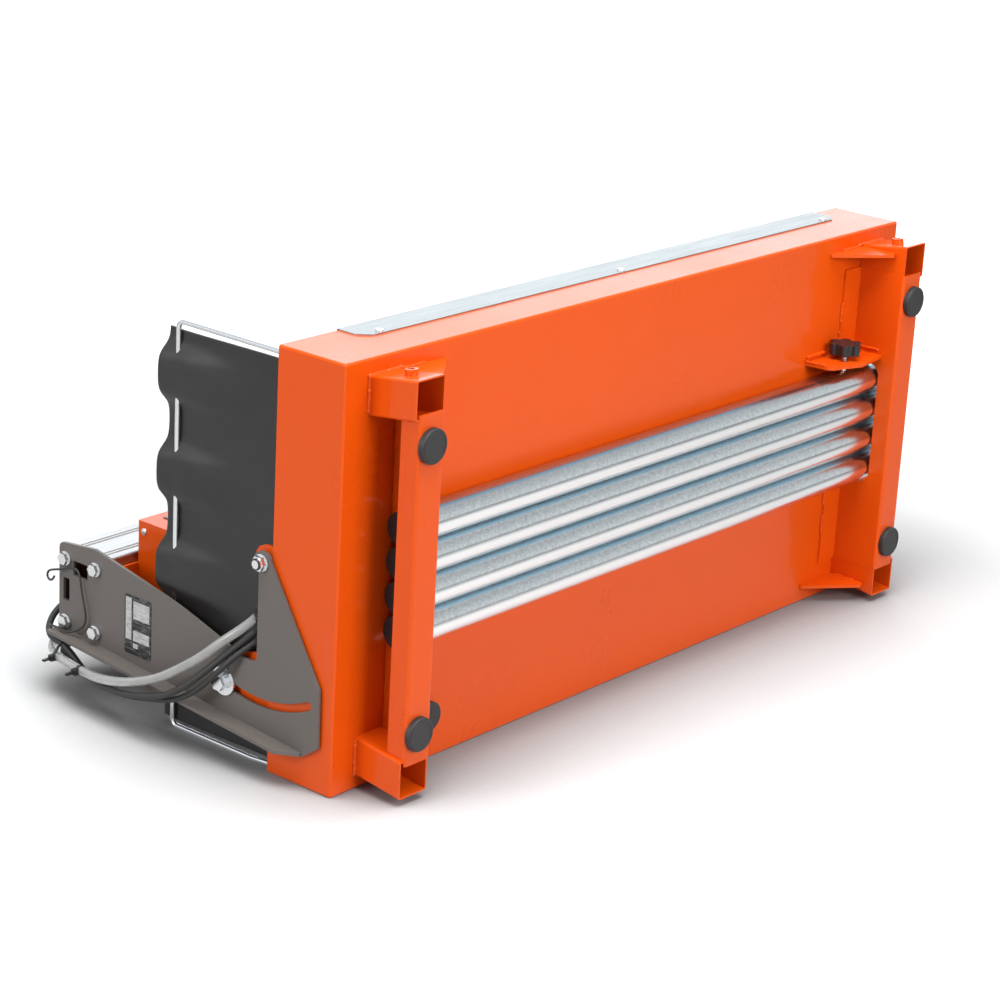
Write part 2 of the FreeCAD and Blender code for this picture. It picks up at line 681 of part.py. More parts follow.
def tube_along(points, radius, bends):
    """Round bar or cord along points: straight runs joined by tangent arcs."""
    edges = []
    start = points[0]
    for i in range(1, len(points) - 1):
        first, middle, last = round_corner(points[i - 1], points[i], points[i + 1], bends[i - 1])
        edges.append(Part.makeLine(start, first))
        edges.append(Part.Arc(first, middle, last).toShape())
        start = last
    edges.append(Part.makeLine(start, points[-1]))
    wire = Part.Wire(edges)
    section = Part.Wire(Part.Circle(points[0], points[1] - points[0], radius).toShape())
    return wire.makePipeShell([section], True, True), wire.Length


def make_bail():
    inside_z = pan_sheet + wire_radius + 0.5
    points = [V(bail_x, depth - 44, inside_z), V(bail_x, depth + 6, inside_z)]
    points += [V(bail_x, depth + 34, bail_low_z), V(bail_x, bail_reach, bail_low_z)]
    points += [V(bail_x, bail_reach, bail_high_z), V(bail_x, depth - 44, bail_high_z)]
    wire, _ = tube_along(points, wire_radius, [60.0, 60.0, 8.0, 8.0])
    add("flap_bail", wire)


# ------------------------------------------------------------ foot rails, sockets
def foot_rail():
    """Z-shaped rail: flange on the pan, upright web, outer flange with a lip."""
    s = foot_rail_sheet
    height = foot_rail_height
    x0 = foot_rail_edge
    x1 = rail_web_x
    corners = [(x0, foot_rail_lip - height, 0), (x0, -height, 4), (x1, -height, 4), (x1, -s, 0)]
    corners += [(x1 + foot_rail_seat, -s, 0), (x1 + foot_rail_seat, 0, 0), (x1 - s, 0, 4)]
    corners += [(x1 - s, s - height, 0), (x0 + s, s - height, 0), (x0 + s, foot_rail_lip - height, 0)]
    rail = plate_z(corners, 48, width - 48)
    room = 1.6
    z0 = leg_centres[0] - leg_radius - room
    z1 = leg_centres[-1] + leg_radius + room
    window = rounded_box_corners(leg_y - leg_radius - room, leg_y + leg_radius + room,
                                 z0, z1, leg_radius * 0.8)
    rail = rail.cut(plate_x(window, x1 - s - 1, x1 + 1))
    seat_cut = box(x1, x1 + foot_rail_seat + 1, -s - 1, 1, z0, z1)
    return rail.cut([seat_cut, socket_block(0), upper_side(socket_block(0))])


def socket_block(wall):
    """Square socket at the near, lower corner, splayed outwards."""
    half = socket_outer / 2 - wall
    reach = socket_reach + 30
    centre_x = socket_edge + socket_outer / 2
    bar = box(centre_x - half, centre_x + half, -reach, 30, -half, half)
    if wall == 0:
        bar = soften(bar, 3, lambda e: e.BoundBox.YLength > 50)
    bar.rotate(V(0, 0, 0), V(1, 0, 0), socket_splay)
    bar.translate(V(0, 0, socket_inset))
    return bar.common(box(0, length, -socket_reach, 0, -width, 2 * width))


def make_foot_rails():
    near = foot_rail()
    add("foot_rail_near", near.removeSplitter())
    add("foot_rail_far", far_side(near.removeSplitter()))


socket_screw_y = -40.0


def make_sockets():
    hollow = socket_block(socket_wall)
    socket = socket_block(0).cut(hollow)
    centre_x = socket_edge + socket_outer / 2
    face_z = socket_inset - socket_outer / 2 + socket_screw_y * math.tan(math.radians(socket_splay))
    hole = rod_z(face_z - 12, face_z + 12, centre_x, socket_screw_y, 4.2)
    socket = socket.cut(hole).removeSplitter()
    add("leg_socket_near_low", socket)
    add("leg_socket_near_high", upper_side(socket))
    add("leg_socket_far_low", far_side(socket))
    add("leg_socket_far_high", upper_side(far_side(socket)))
    side_x = socket_edge + socket_outer
    z0 = socket_inset - socket_outer / 2 + 2
    tip = side_x + 74
    corners = [(side_x, 0, 0), (side_x, -52, 0), (side_x + 8, -56, 3), (tip, -4, 2), (tip, 0, 0)]
    gusset = plate_z(corners, z0, z0 + 4)
    add("socket_gussets", *four_corners([gusset]))


def socket_nuts():
    centre_x = socket_edge + socket_outer / 2
    face_z = socket_inset - socket_outer / 2 + socket_screw_y * math.tan(math.radians(socket_splay))
    nut = rod_z(face_z - 7, face_z - 0.2, centre_x, socket_screw_y, 7.5)
    nut.rotate(V(centre_x, socket_screw_y, face_z), V(1, 0, 0), socket_splay)
    bore = rod_z(face_z - 12, face_z + 12, centre_x, socket_screw_y, 4.2)
    bore.rotate(V(centre_x, socket_screw_y, face_z), V(1, 0, 0), socket_splay)
    return four_corners([nut.cut(bore).cut(socket_block(0))])


def make_feet():
    x = foot_rail_edge + foot_diameter / 2 - 1.5
    low = -foot_rail_height - foot_thickness
    foot = rod_y(low, -foot_rail_height, x, foot_inset, foot_diameter / 2)
    foot = soften(foot, 1.6, lambda e: e.BoundBox.YMax < low + 1)
    add("rubber_feet", *four_corners([foot]))


# ------------------------------------------------------------------- stowed legs
cap_lip = 3.0


def make_legs():
    for i, z in enumerate(leg_centres):
        tube = ring_x(leg_start, leg_start + leg_length, leg_y, z, leg_radius, leg_radius - leg_wall)
        add("leg_tube_%d" % (i + 1), tube)
        inner = leg_radius - leg_wall
        head = rod_x(leg_start - cap_lip, leg_start, leg_y, z, leg_radius)
        head = soften(head, 1.2, lambda e: e.BoundBox.XMax < leg_start - 1)
        plug = rod_x(leg_start, leg_start + 16, leg_y, z, inner).cut(
            rod_x(leg_start + 3, leg_start + 17, leg_y, z, inner - 2))
        cap = head.fuse(plug).removeSplitter()
        end = cap.mirror(V(leg_start + leg_length / 2, 0, 0), V(1, 0, 0))
        add("leg_caps_%d" % (i + 1), cap, end)


clamp_plate_x = (868.0, rail_web_x)
clamp_knob_x = 925.0


def make_leg_clamp():
    top = leg_centres[-1] + leg_radius
    plate_low = top + 12
    sheet = 4.0
    far_x = length - rail_web_x
    corners = [(clamp_plate_x[0], 0, 0), (clamp_plate_x[0] + 4, -38, 12)]
    corners += [(clamp_knob_x - 4, leg_y - 32, 16), (far_x, leg_y - 24, 0), (far_x, 0, 0)]
    plate = plate_z(corners, plate_low, plate_low + sheet)
    screw_y = leg_y
    plate = plate.cut(rod_z(plate_low - 1, plate_low + 10, clamp_knob_x, screw_y, 4 + fit_clearance))
    seat = foot_rail_sheet + 0.2
    plate = plate.cut(box(far_x - foot_rail_seat - 1, far_x, -seat, 1, plate_low - 1, plate_low + sheet + 1))
    add("leg_clamp_plate", plate)
    corner = 13 / math.sqrt(3)
    points = [V(clamp_knob_x + corner * math.cos(math.radians(60 * i)),
                screw_y + corner * math.sin(math.radians(60 * i)), plate_low - 6.5) for i in range(7)]
    nut = Part.Face(Part.makePolygon(points)).extrude(V(0, 0, 6.5))
    nut = nut.cut(rod_z(plate_low - 8, plate_low + 1, clamp_knob_x, screw_y, 4 + fit_clearance))
    knob_low = plate_low + sheet + 4
    add("leg_clamp_screw", rod_z(top + touch_gap, knob_low + 8, clamp_knob_x, screw_y, 4))
    grip = star_knob(16, 5.5, 14, 6)
    grip.rotate(V(0, 0, 0), V(0, 1, 0), -90)
    grip.translate(V(clamp_knob_x, screw_y, knob_low + 3))
    collar = rod_z(knob_low, knob_low + 3, clamp_knob_x, screw_y, 9)
    grip = grip.fuse(collar).cut(rod_z(knob_low - 1, knob_low + 8, clamp_knob_x, screw_y, 4))
    add("leg_clamp_knob", grip.removeSplitter())
    add("weld_nuts", nut, *socket_nuts())


# ------------------------------------------------------------ hose, cables, ties
hose_radius = 5.5
cable_radius = 4.0
lead_radius = 3.5
tie_radius = 1.3
hose_route = [(5, 112, 193), (3.5, 123, 179), (-5, 139, 162), (-18, 158, 144), (-29, 178, 123),
              (-36, 203, 104), (-40, 231, 85), (-41, 266, 69), (-41, 306, 56), (-38, 346, 49),
              (-33, 378, 48), (-28, 406, 48), (-22, 432, 47), (-11, 451, 51), (7, 459, 58),
              (28, 458, 64), (48, 455, 66)]
cable_route = [(3.5, 112, 176), (0.5, 124, 162), (-12, 149, 134), (-26, 172, 108), (-36, 193, 86),
               (-42, 220, 66), (-45, 258, 55), (-39, 308, 43), (-30, 352, 38), (-21, 385, 43),
               (-17, 408, 54), (-15, 430, 62), (-14, 447, 62), (-10, 458, 69), (-2, 461, 81),
               (8, 458, 93), (20, 452, 103), (34, 449, 108), (48, 449, 107)]
lead_route = [(4, 112, 162), (2, 124, 149), (-12, 139, 133), (-24, 157, 109), (-29, 184, 80),
              (-33, 214, 60), (-35, 252, 50), (-31, 302, 38), (-23, 346, 33), (-16, 380, 35),
              (-13, 404, 43), (-11, 424, 49), (-6, 438, 46), (8, 447, 45), (28, 448, 50),
              (48, 448, 53)]
tie_route = [(-11, 446, 140), (-12, 448, 134), (-13, 454, 134), (-13, 457, 140), (-13, 453, 146),
             (-12, 444, 149), (-11, 433, 152), (-10, 421, 157), (-9, 409, 159), (-10, 402, 152),
             (-11, 399, 140), (-11, 396, 127), (-12, 391, 114), (-11, 390, 101), (-12, 394, 90),
             (-13, 404, 83), (-16, 414, 79), (-18.5, 425, 79), (-19.5, 436, 82), (-17, 448, 79)]


def cord_bends(points):
    bends = []
    for before, point, after in zip(points, points[1:], points[2:]):
        back = before - point
        ahead = after - point
        half_turn = (math.pi - back.getAngle(ahead)) / 2
        bends.append(0.45 * min(back.Length, ahead.Length) / math.tan(half_turn))
    return bends


def make_cord(name, route, radius):
    points = [V(*p) for p in route]
    bends = cord_bends(points)
    tube, run = tube_along(points, radius, bends)
    expected = math.pi * radius ** 2 * run
    print(name, "length %.1f" % run, "volume ratio %.4f" % (tube.Volume / expected),
          "radii", " ".join("%.0f" % b for b in bends))
    add(name, tube)


def make_cords():
    make_cord("water_hose", hose_route, hose_radius)
    make_cord("power_cable", cable_route, cable_radius)
    make_cord("pump_lead", lead_route, lead_radius)
    make_cord("tie_cord", tie_route, tie_radius)


def make_cord_fittings():
    gland = box(-slide_gap, 10.5, depth + 2, depth + 14, mid_z - 94, mid_z - 46)
    gland = soften(gland, 2, lambda e: True)
    block = box(48, 66, beam_high_y, beam_high_y + 20, beam_low_z - 31, beam_low_z + 45)
    add("cord_fittings", gland, soften(block, 3, lambda e: e.BoundBox.YMin > beam_high_y + 19))


# ----------------------------------------------------------------------- assembly
make_pan()
make_side_strip()
make_drain()
make_pivots()
make_clamps()
make_brackets()
make_beam()
make_label()
make_trolley()
make_head_box()
make_motor()
make_spindle()
make_guard()
make_handle()
make_switch()
make_table()
make_pump()
make_flap()
make_bail()
make_foot_rails()
make_sockets()
make_feet()
make_legs()
make_leg_clamp()
make_cords()
make_cord_fittings()

cord_names = ("water_hose", "power_cable", "pump_lead", "tie_cord")
extent = FreeCAD.BoundBox()
for name, shape in nodes.items():
    if name not in cord_names:
        extent.add(shape.optimalBoundingBox(False, False))
origin = V((extent.XMin + extent.XMax) / 2, (extent.YMin + extent.YMax) / 2, extent.ZMin)
for name, shape in nodes.items():
    shape.translate(origin * -1)
    shape.exportStep("parts/%s.step" % name)
    bad = [s for s in shape.Solids if not s.isValid()]
    if bad or not shape.Solids:
        print("check", name, len(shape.Solids), "solids", len(bad), "not valid")
print(len(nodes), "nodes", "size %.1f %.1f %.1f" % (extent.XLength, extent.YLength, extent.ZLength))
print("origin moved by %.3f %.3f %.3f" % (-origin.x, -origin.y, -origin.z))
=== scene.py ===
import bmesh
import bpy
import json
import math
import random
from mathutils import Matrix, Vector


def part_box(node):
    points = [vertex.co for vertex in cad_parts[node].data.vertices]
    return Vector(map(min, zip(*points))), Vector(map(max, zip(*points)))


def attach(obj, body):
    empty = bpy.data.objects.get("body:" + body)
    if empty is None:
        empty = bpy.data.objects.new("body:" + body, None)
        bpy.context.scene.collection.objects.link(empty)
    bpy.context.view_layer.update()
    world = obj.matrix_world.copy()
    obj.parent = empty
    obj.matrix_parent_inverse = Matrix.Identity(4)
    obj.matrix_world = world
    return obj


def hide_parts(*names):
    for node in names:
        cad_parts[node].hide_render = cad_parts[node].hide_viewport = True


# A bridge tile saw lying on one long side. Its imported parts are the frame; this file adds the
# camera, light and floor, the cords, the rubber flap, welds and trim, and every finish.
# Places are in millimetres from the pan's near, lower corner: x along the pan, y from the
# pan's floor towards table and rail, z up.
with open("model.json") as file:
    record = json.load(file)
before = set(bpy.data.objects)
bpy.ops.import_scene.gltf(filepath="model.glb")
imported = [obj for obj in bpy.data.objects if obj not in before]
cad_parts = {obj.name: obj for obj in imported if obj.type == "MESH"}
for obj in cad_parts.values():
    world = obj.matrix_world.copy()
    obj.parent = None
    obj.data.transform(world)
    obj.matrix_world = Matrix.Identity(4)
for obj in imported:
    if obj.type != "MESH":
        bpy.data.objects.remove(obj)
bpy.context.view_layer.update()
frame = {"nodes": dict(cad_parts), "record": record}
nodes = frame["nodes"]
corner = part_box("pan")[0]
length = 1060.0
width = 500.0
spindle_x, spindle_y = 165.0, 222.0


def at(x, y, z):
    return corner + Vector((x, y, z)) / 1000


# ------------------------------------------------------------------ camera, light, floor
def make_camera():
    camera = bpy.data.cameras.new("camera")
    camera.lens = 101.2
    camera.sensor_width = 36
    camera.clip_end = 100
    holder = bpy.data.objects.new("camera", camera)
    bpy.context.scene.collection.objects.link(holder)
    place = Vector((-2.6045, -2.1204, 1.3308))
    ahead = Vector((0.72995, 0.60149, -0.32463))
    roll = math.radians(3.23)
    turn = ahead.to_track_quat("-Z", "Y").to_matrix() @ Matrix.Rotation(roll, 3, "Z")
    holder.matrix_world = Matrix.Translation(place) @ turn.to_4x4()
    bpy.context.scene.camera = holder


def softbox(name, place, target, size, power):
    light = bpy.data.lights.new(name, "AREA")
    light.shape = "RECTANGLE"
    light.size, light.size_y = size
    light.energy = power
    holder = bpy.data.objects.new(name, light)
    bpy.context.scene.collection.objects.link(holder)
    place = Vector(place)
    aim = (Vector(target) - place).to_track_quat("-Z", "Y")
    holder.matrix_world = Matrix.Translation(place) @ aim.to_matrix().to_4x4()


def make_room():
    """Surroundings: white to the lens, a grey room to all else, with a bright sweep behind."""
    world = bpy.data.worlds.new("studio")
    world.use_nodes = True
    tree = world.node_tree
    background = tree.nodes["Background"]
    path = put(tree, "LightPath").outputs
    heading = put(tree, "TexCoord").outputs["Generated"]
    height = put(tree, "SeparateXYZ", {"Vector": heading}).outputs[2]
    room = mix_colour(tree, span(tree, height, 0.0, 0.8), (0.72, 0.75, 0.79, 1), (0.36, 0.38, 0.41, 1))
    behind = put(tree, "VectorMath", {0: heading, 1: (0.73, 0.60, 0.33)}, operation="DOT_PRODUCT")
    sweep = span(tree, behind.outputs["Value"], 0.80, 0.95, 0.55, 3.2)
    mirrored = math_node(tree, "MULTIPLY", path["Is Glossy Ray"], sweep)
    tree.links.new(mix_colour(tree, path["Is Camera Ray"], room, (1, 1, 1, 1)),
                   background.inputs["Color"])
    dim = span(tree, path["Is Diffuse Ray"], 0.0, 1.0, 1.0, 0.5)
    tree.links.new(math_node(tree, "ADD", mirrored, dim), background.inputs["Strength"])
    bpy.context.scene.world = world


def studio_paper():
    """White paper: to the lens it glows away from the object, and near it a painted shadow darkens its
    colour.
    """
    paper = bpy.data.materials.new("studio_paper")
    paper.use_nodes = True
    tree = paper.node_tree
    shader = tree.nodes["Principled BSDF"]
    seen = put(tree, "LightPath").outputs["Is Camera Ray"]
    # Painted shadow: to the lens the paper's colour goes from pale to dark grey where ambient occlusion
    # finds the object close.
    open_sky = put(tree, "AmbientOcclusion", {"Distance": 0.45}).outputs["AO"]
    pale = mix_colour(tree, span(tree, open_sky, 0.35, 1.0), (0.24, 0.24, 0.24, 1),
                      (0.76, 0.76, 0.76, 1))
    tree.links.new(mix_colour(tree, seen, (0.50, 0.50, 0.50, 1), pale), shader.inputs["Base Color"])
    shader.inputs["Roughness"].default_value = 0.8
    shader.inputs["Specular IOR Level"].default_value = 0.0
    shader.inputs["Emission Color"].default_value = (1, 1, 1, 1)
    away = put(tree, "VectorMath", {0: put(tree, "TexCoord").outputs["Object"]}, operation="LENGTH")
    glow = span(tree, away.outputs["Value"], 0.75, 2.2, 0.0, 1.0)
    tree.links.new(math_node(tree, "MULTIPLY", glow, seen), shader.inputs["Emission Strength"])
    return paper


def make_studio():
    make_room()
    bpy.context.scene.view_settings.view_transform = "Standard"
    softbox("overhead", (-0.5, -0.5, 3.0), (0, 0, 0.2), (2.4, 2.0), 128)
    softbox("end_light", (-3.4, 0.7, 1.7), (-0.5, 0, 0.25), (1.2, 1.5), 58)
    softbox("front_light", (-0.4, -3.4, 1.8), (0.1, 0, 0.2), (2.0, 1.2), 84)
    bm = bmesh.new()
    bmesh.ops.create_grid(bm, x_segments=2, y_segments=2, size=20)
    mesh = bpy.data.meshes.new("floor")
    bm.to_mesh(mesh)
    bm.free()
    floor = bpy.data.objects.new("floor", mesh)
    bpy.context.scene.collection.objects.link(floor)
    mesh.materials.append(studio_paper())


# ------------------------------------------------------------------ material building
def put(tree, kind, sockets=None, **settings):
    """Adds one node; a socket's value is a number, a colour or another node's output."""
    node = tree.nodes.new("ShaderNode" + kind)
    for name, value in settings.items():
        setattr(node, name, value)
    for key, value in (sockets or {}).items():
        if isinstance(value, bpy.types.NodeSocket):
            tree.links.new(value, node.inputs[key])
        else:
            node.inputs[key].default_value = value
    return node


def math_node(tree, operation, first, second=0.5):
    return put(tree, "Math", {0: first, 1: second}, operation=operation).outputs[0]


def span(tree, value, low, high, out_low=0.0, out_high=1.0):
    """Maps low..high to out_low..out_high, and stops at both ends."""
    sockets = {"Value": value, "From Min": low, "From Max": high, "To Min": out_low,
               "To Max": out_high}
    return put(tree, "MapRange", sockets).outputs["Result"]


def mix_colour(tree, share, first, second):
    node = put(tree, "Mix", data_type="RGBA")
    for index, value in ((0, share), (6, first), (7, second)):
        if isinstance(value, bpy.types.NodeSocket):
            tree.links.new(value, node.inputs[index])
        else:
            node.inputs[index].default_value = value
    return node.outputs[2]


def new_group(name, inputs, outputs):
    group = bpy.data.node_groups.new(name, "ShaderNodeTree")
    for label, kind, value in inputs:
        socket = group.interface.new_socket(label, in_out="INPUT", socket_type="NodeSocket" + kind)
        if value is not None:
            socket.default_value = value
    for label, kind in outputs:
        group.interface.new_socket(label, in_out="OUTPUT", socket_type="NodeSocket" + kind)
    given = group.nodes.new("NodeGroupInput").outputs
    result = group.nodes.new("NodeGroupOutput").inputs
    return group, given, result


def drift_group():
    """Large soft changes of a colour's value, as uneven coats and light soiling give."""
    inputs = [("Position", "Vector", None), ("Colour", "Color", (1, 1, 1, 1)),
              ("Scale", "Float", 6.0), ("Amount", "Float", 0.1)]
    group, given, result = new_group("colour_drift", inputs, [("Colour", "Color"), ("Mask", "Float")])
    noise = put(group, "TexNoise", {"Vector": given["Position"], "Scale": given["Scale"],
                                    "Detail": 5.0, "Roughness": 0.6})
    centred = math_node(group, "SUBTRACT", noise.outputs["Fac"], 0.5)
    change = math_node(group, "MULTIPLY", centred, given["Amount"])
    value = math_node(group, "ADD", change, 1.0)
    shifted = put(group, "HueSaturation", {"Value": value, "Color": given["Colour"]})
    group.links.new(shifted.outputs["Color"], result["Colour"])
    group.links.new(noise.outputs["Fac"], result["Mask"])
    return group


def peel_group():
    """Height of a sprayed coat: fine orange peel over slow waves in the sheet."""
    inputs = [("Position", "Vector", None), ("Peel Scale", "Float", 320.0),
              ("Wave Scale", "Float", 9.0), ("Wave Share", "Float", 3.0)]
    group, given, result = new_group("sprayed_coat", inputs, [("Height", "Float")])
    fine = put(group, "TexNoise", {"Vector": given["Position"], "Scale": given["Peel Scale"],
                                   "Detail": 2.0})
    slow = put(group, "TexNoise", {"Vector": given["Position"], "Scale": given["Wave Scale"],
                                   "Detail": 1.0})
    waves = math_node(group, "MULTIPLY", slow.outputs["Fac"], given["Wave Share"])
    total = math_node(group, "ADD", waves, fine.outputs["Fac"])
    group.links.new(total, result["Height"])
    return group


def scuff_group():
    """Sparse thin scratches along one direction, broken up by patches."""
    inputs = [("Position", "Vector", None), ("Stretch", "Vector", (1, 30, 30)),
              ("Scale", "Float", 40.0), ("Cover", "Float", 0.3)]
    group, given, result = new_group("scuffs", inputs, [("Mask", "Float")])
    stretched = put(group, "VectorMath", {0: given["Position"], 1: given["Stretch"]},
                    operation="MULTIPLY")
    lines = put(group, "TexNoise", {"Vector": stretched.outputs[0], "Scale": given["Scale"],
                                    "Detail": 6.0, "Roughness": 0.7})
    patches = put(group, "TexNoise", {"Vector": given["Position"], "Scale": 14.0, "Detail": 3.0})
    thin = span(group, lines.outputs["Fac"], 0.62, 0.74)
    allowed = span(group, patches.outputs["Fac"], 0.5, 0.62)
    both = math_node(group, "MULTIPLY", thin, allowed)
    group.links.new(math_node(group, "MULTIPLY", both, given["Cover"]), result["Mask"])
    return group


def tooth_group():
    """Fine even grain, as of powder paint, moulded plastic or rubber."""
    inputs = [("Position", "Vector", None), ("Scale", "Float", 900.0)]
    group, given, result = new_group("fine_tooth", inputs, [("Height", "Float"), ("Mask", "Float")])
    cells = put(group, "TexVoronoi", {"Vector": given["Position"], "Scale": given["Scale"]},
                feature="SMOOTH_F1")
    noise = put(group, "TexNoise", {"Vector": given["Position"], "Scale": given["Scale"],
                                    "Detail": 3.0})
    total = math_node(group, "ADD", cells.outputs["Distance"], noise.outputs["Fac"])
    group.links.new(total, result["Height"])
    group.links.new(noise.outputs["Fac"], result["Mask"])
    return group


def spangle_group():
    """Zinc crystals: flat grains, each with its own tone."""
    inputs = [("Position", "Vector", None), ("Scale", "Float", 110.0)]
    group, given, result = new_group("zinc_spangle", inputs, [("Tone", "Float")])
    bend = put(group, "TexNoise", {"Vector": given["Position"], "Scale": 60.0, "Detail": 2.0})
    offset = put(group, "VectorMath", {0: bend.outputs["Color"], 1: (0.008, 0.008, 0.008)},
                 operation="MULTIPLY")
    place = put(group, "VectorMath", {0: given["Position"], 1: offset.outputs[0]}, operation="ADD")
    grains = put(group, "TexVoronoi", {"Vector": place.outputs[0], "Scale": given["Scale"]})
    tone = put(group, "SeparateColor", {"Color": grains.outputs["Color"]}).outputs[0]
    group.links.new(tone, result["Tone"])
    return group


def brushed_group():
    """Fine parallel lines along one direction, as rolled or brushed sheet has."""
    inputs = [("Position", "Vector", None), ("Stretch", "Vector", (2, 300, 300)),
              ("Scale", "Float", 6.0)]
    group, given, result = new_group("brushed_lines", inputs, [("Mask", "Float")])
    stretched = put(group, "VectorMath", {0: given["Position"], 1: given["Stretch"]},
                    operation="MULTIPLY")
    lines = put(group, "TexNoise", {"Vector": stretched.outputs[0], "Scale": given["Scale"],
                                    "Detail": 4.0, "Roughness": 0.6})
    group.links.new(lines.outputs["Fac"], result["Mask"])
    return group


groups = {}


def use_group(tree, name, **values):
    node = tree.nodes.new("ShaderNodeGroup")
    node.node_tree = groups[name]
    for label, value in values.items():
        socket = node.inputs[label.replace("_", " ")]
        if isinstance(value, bpy.types.NodeSocket):
            tree.links.new(value, socket)
        else:
            socket.default_value = value
    return node.outputs


def new_material(name, **plain):
    """A material with its shader's plain sockets set; gives the tree, shader and position."""
    material = bpy.data.materials.new(name)
    material.use_nodes = True
    tree = material.node_tree
    shader = tree.nodes["Principled BSDF"]
    for label, value in plain.items():
        shader.inputs[label.replace("_", " ")].default_value = value
    position = put(tree, "TexCoord").outputs["Object"]
    return material, tree, shader, position


def bump(tree, shader, height, strength, distance):
    node = put(tree, "Bump", {"Height": height, "Strength": strength, "Distance": distance})
    tree.links.new(node.outputs["Normal"], shader.inputs["Normal"])


def paint(name, colour, dull, peel, wave, coat, drift=0.10, peel_scale=320.0):
    material, tree, shader, position = new_material(name, Coat_Weight=coat, Coat_Roughness=0.05,
                                                    Coat_IOR=1.5, Specular_IOR_Level=0.12)
    tone = use_group(tree, "colour_drift", Position=position, Colour=colour, Scale=5.0, Amount=drift)
    marks = use_group(tree, "scuffs", Position=position, Stretch=(3, 60, 60), Scale=26.0, Cover=0.1)
    pale = tuple(0.45 * c + 0.3 for c in colour[:3]) + (1,)
    tree.links.new(mix_colour(tree, marks["Mask"], tone["Colour"], pale), shader.inputs["Base Color"])
    rough = span(tree, tone["Mask"], 0.3, 0.7, dull * 0.8, dull * 1.25)
    rougher = math_node(tree, "ADD", rough, math_node(tree, "MULTIPLY", marks["Mask"], 0.3))
    tree.links.new(rougher, shader.inputs["Roughness"])
    coat_skin = use_group(tree, "sprayed_coat", Position=position, Peel_Scale=peel_scale,
                          Wave_Scale=7.0, Wave_Share=wave)
    bump(tree, shader, coat_skin["Height"], peel, 0.0006)
    return material


def grained(name, colour, roughness, scale, strength, drift=0.25):
    """Moulded plastic or rubber: fine tooth, with patches a little paler."""
    material, tree, shader, position = new_material(name)
    tone = use_group(tree, "colour_drift", Position=position, Colour=colour, Scale=18.0, Amount=drift)
    tree.links.new(tone["Colour"], shader.inputs["Base Color"])
    tooth = use_group(tree, "fine_tooth", Position=position, Scale=scale)
    rough = span(tree, tooth["Mask"], 0.3, 0.7, roughness - 0.06, roughness + 0.08)
    tree.links.new(rough, shader.inputs["Roughness"])
    bump(tree, shader, tooth["Height"], strength, 0.0002)
    return material


def metal(name, colour, roughness, stretch, lines=0.12, drift=0.12, relief=0.15, worn=0.5):
    """Rolled or brushed metal with lines along one direction and a few scratches."""
    material, tree, shader, position = new_material(name, Metallic=1.0)
    tone = use_group(tree, "colour_drift", Position=position, Colour=colour, Scale=9.0, Amount=drift)
    brushed = use_group(tree, "brushed_lines", Position=position, Stretch=stretch, Scale=6.0)
    marks = use_group(tree, "scuffs", Position=position, Stretch=(2, 20, 20), Scale=30.0, Cover=worn)
    dark = tuple(c * 0.72 for c in colour[:3]) + (1,)
    share = span(tree, brushed["Mask"], 0.35, 0.65, 0.0, lines * 3)
    worn = mix_colour(tree, share, tone["Colour"], dark)
    tree.links.new(mix_colour(tree, marks["Mask"], worn, (0.9, 0.9, 0.9, 1)),
                   shader.inputs["Base Color"])
    rough = span(tree, brushed["Mask"], 0.3, 0.7, roughness - lines, roughness + lines)
    tree.links.new(rough, shader.inputs["Roughness"])
    bump(tree, shader, brushed["Mask"], relief, 0.0001)
    return material


def galvanised():
    """Bright drawn tube: zinc grain above, and below a painted reflection of the pale floor that makes
    the lower half smoother and paler; a bluish line on its flank.
    """
    material, tree, shader, position = new_material("galvanised_tube", Metallic=1.0)
    grain = use_group(tree, "zinc_spangle", Position=position, Scale=420.0)
    lines = use_group(tree, "brushed_lines", Position=position, Stretch=(0.5, 150, 150), Scale=4.0)
    up = put(tree, "SeparateXYZ", {"Vector": put(tree, "NewGeometry").outputs["Normal"]}).outputs[2]
    grainy = mix_colour(tree, grain["Tone"], (0.47, 0.49, 0.48, 1), (0.56, 0.58, 0.57, 1))
    # Painted reflection: faces turned down get a near-white colour for the bright floor they would
    # mirror, faces turned up the darker grain.
    tone = mix_colour(tree, span(tree, up, 0.02, 0.22), (0.97, 0.98, 0.98, 1), grainy)
    streak = span(tree, lines["Mask"], 0.54, 0.72, 0.0, 0.18)
    streaked = mix_colour(tree, streak, tone, (0.50, 0.54, 0.57, 1))
    rising = span(tree, up, 0.80, 0.86)
    falling = span(tree, up, 0.92, 0.96, 1.0, 0.0)
    blue = math_node(tree, "MULTIPLY", math_node(tree, "MULTIPLY", rising, falling), 0.75)
    tree.links.new(mix_colour(tree, blue, streaked, (0.20, 0.44, 0.60, 1)), shader.inputs["Base Color"])
    rough = span(tree, grain["Tone"], 0.0, 1.0, 0.21, 0.24)
    tree.links.new(rough, shader.inputs["Roughness"])
    bump(tree, shader, lines["Mask"], 0.01, 0.0001)
    return material


def inside(tree, across, up, x0, x1, y0, y1):
    """1 within a rectangle of the plate, else 0."""
    parts = [math_node(tree, "GREATER_THAN", across, x0), math_node(tree, "LESS_THAN", across, x1),
             math_node(tree, "GREATER_THAN", up, y0), math_node(tree, "LESS_THAN", up, y1)]
    result = parts[0]
    for part in parts[1:]:
        result = math_node(tree, "MULTIPLY", result, part)
    return result


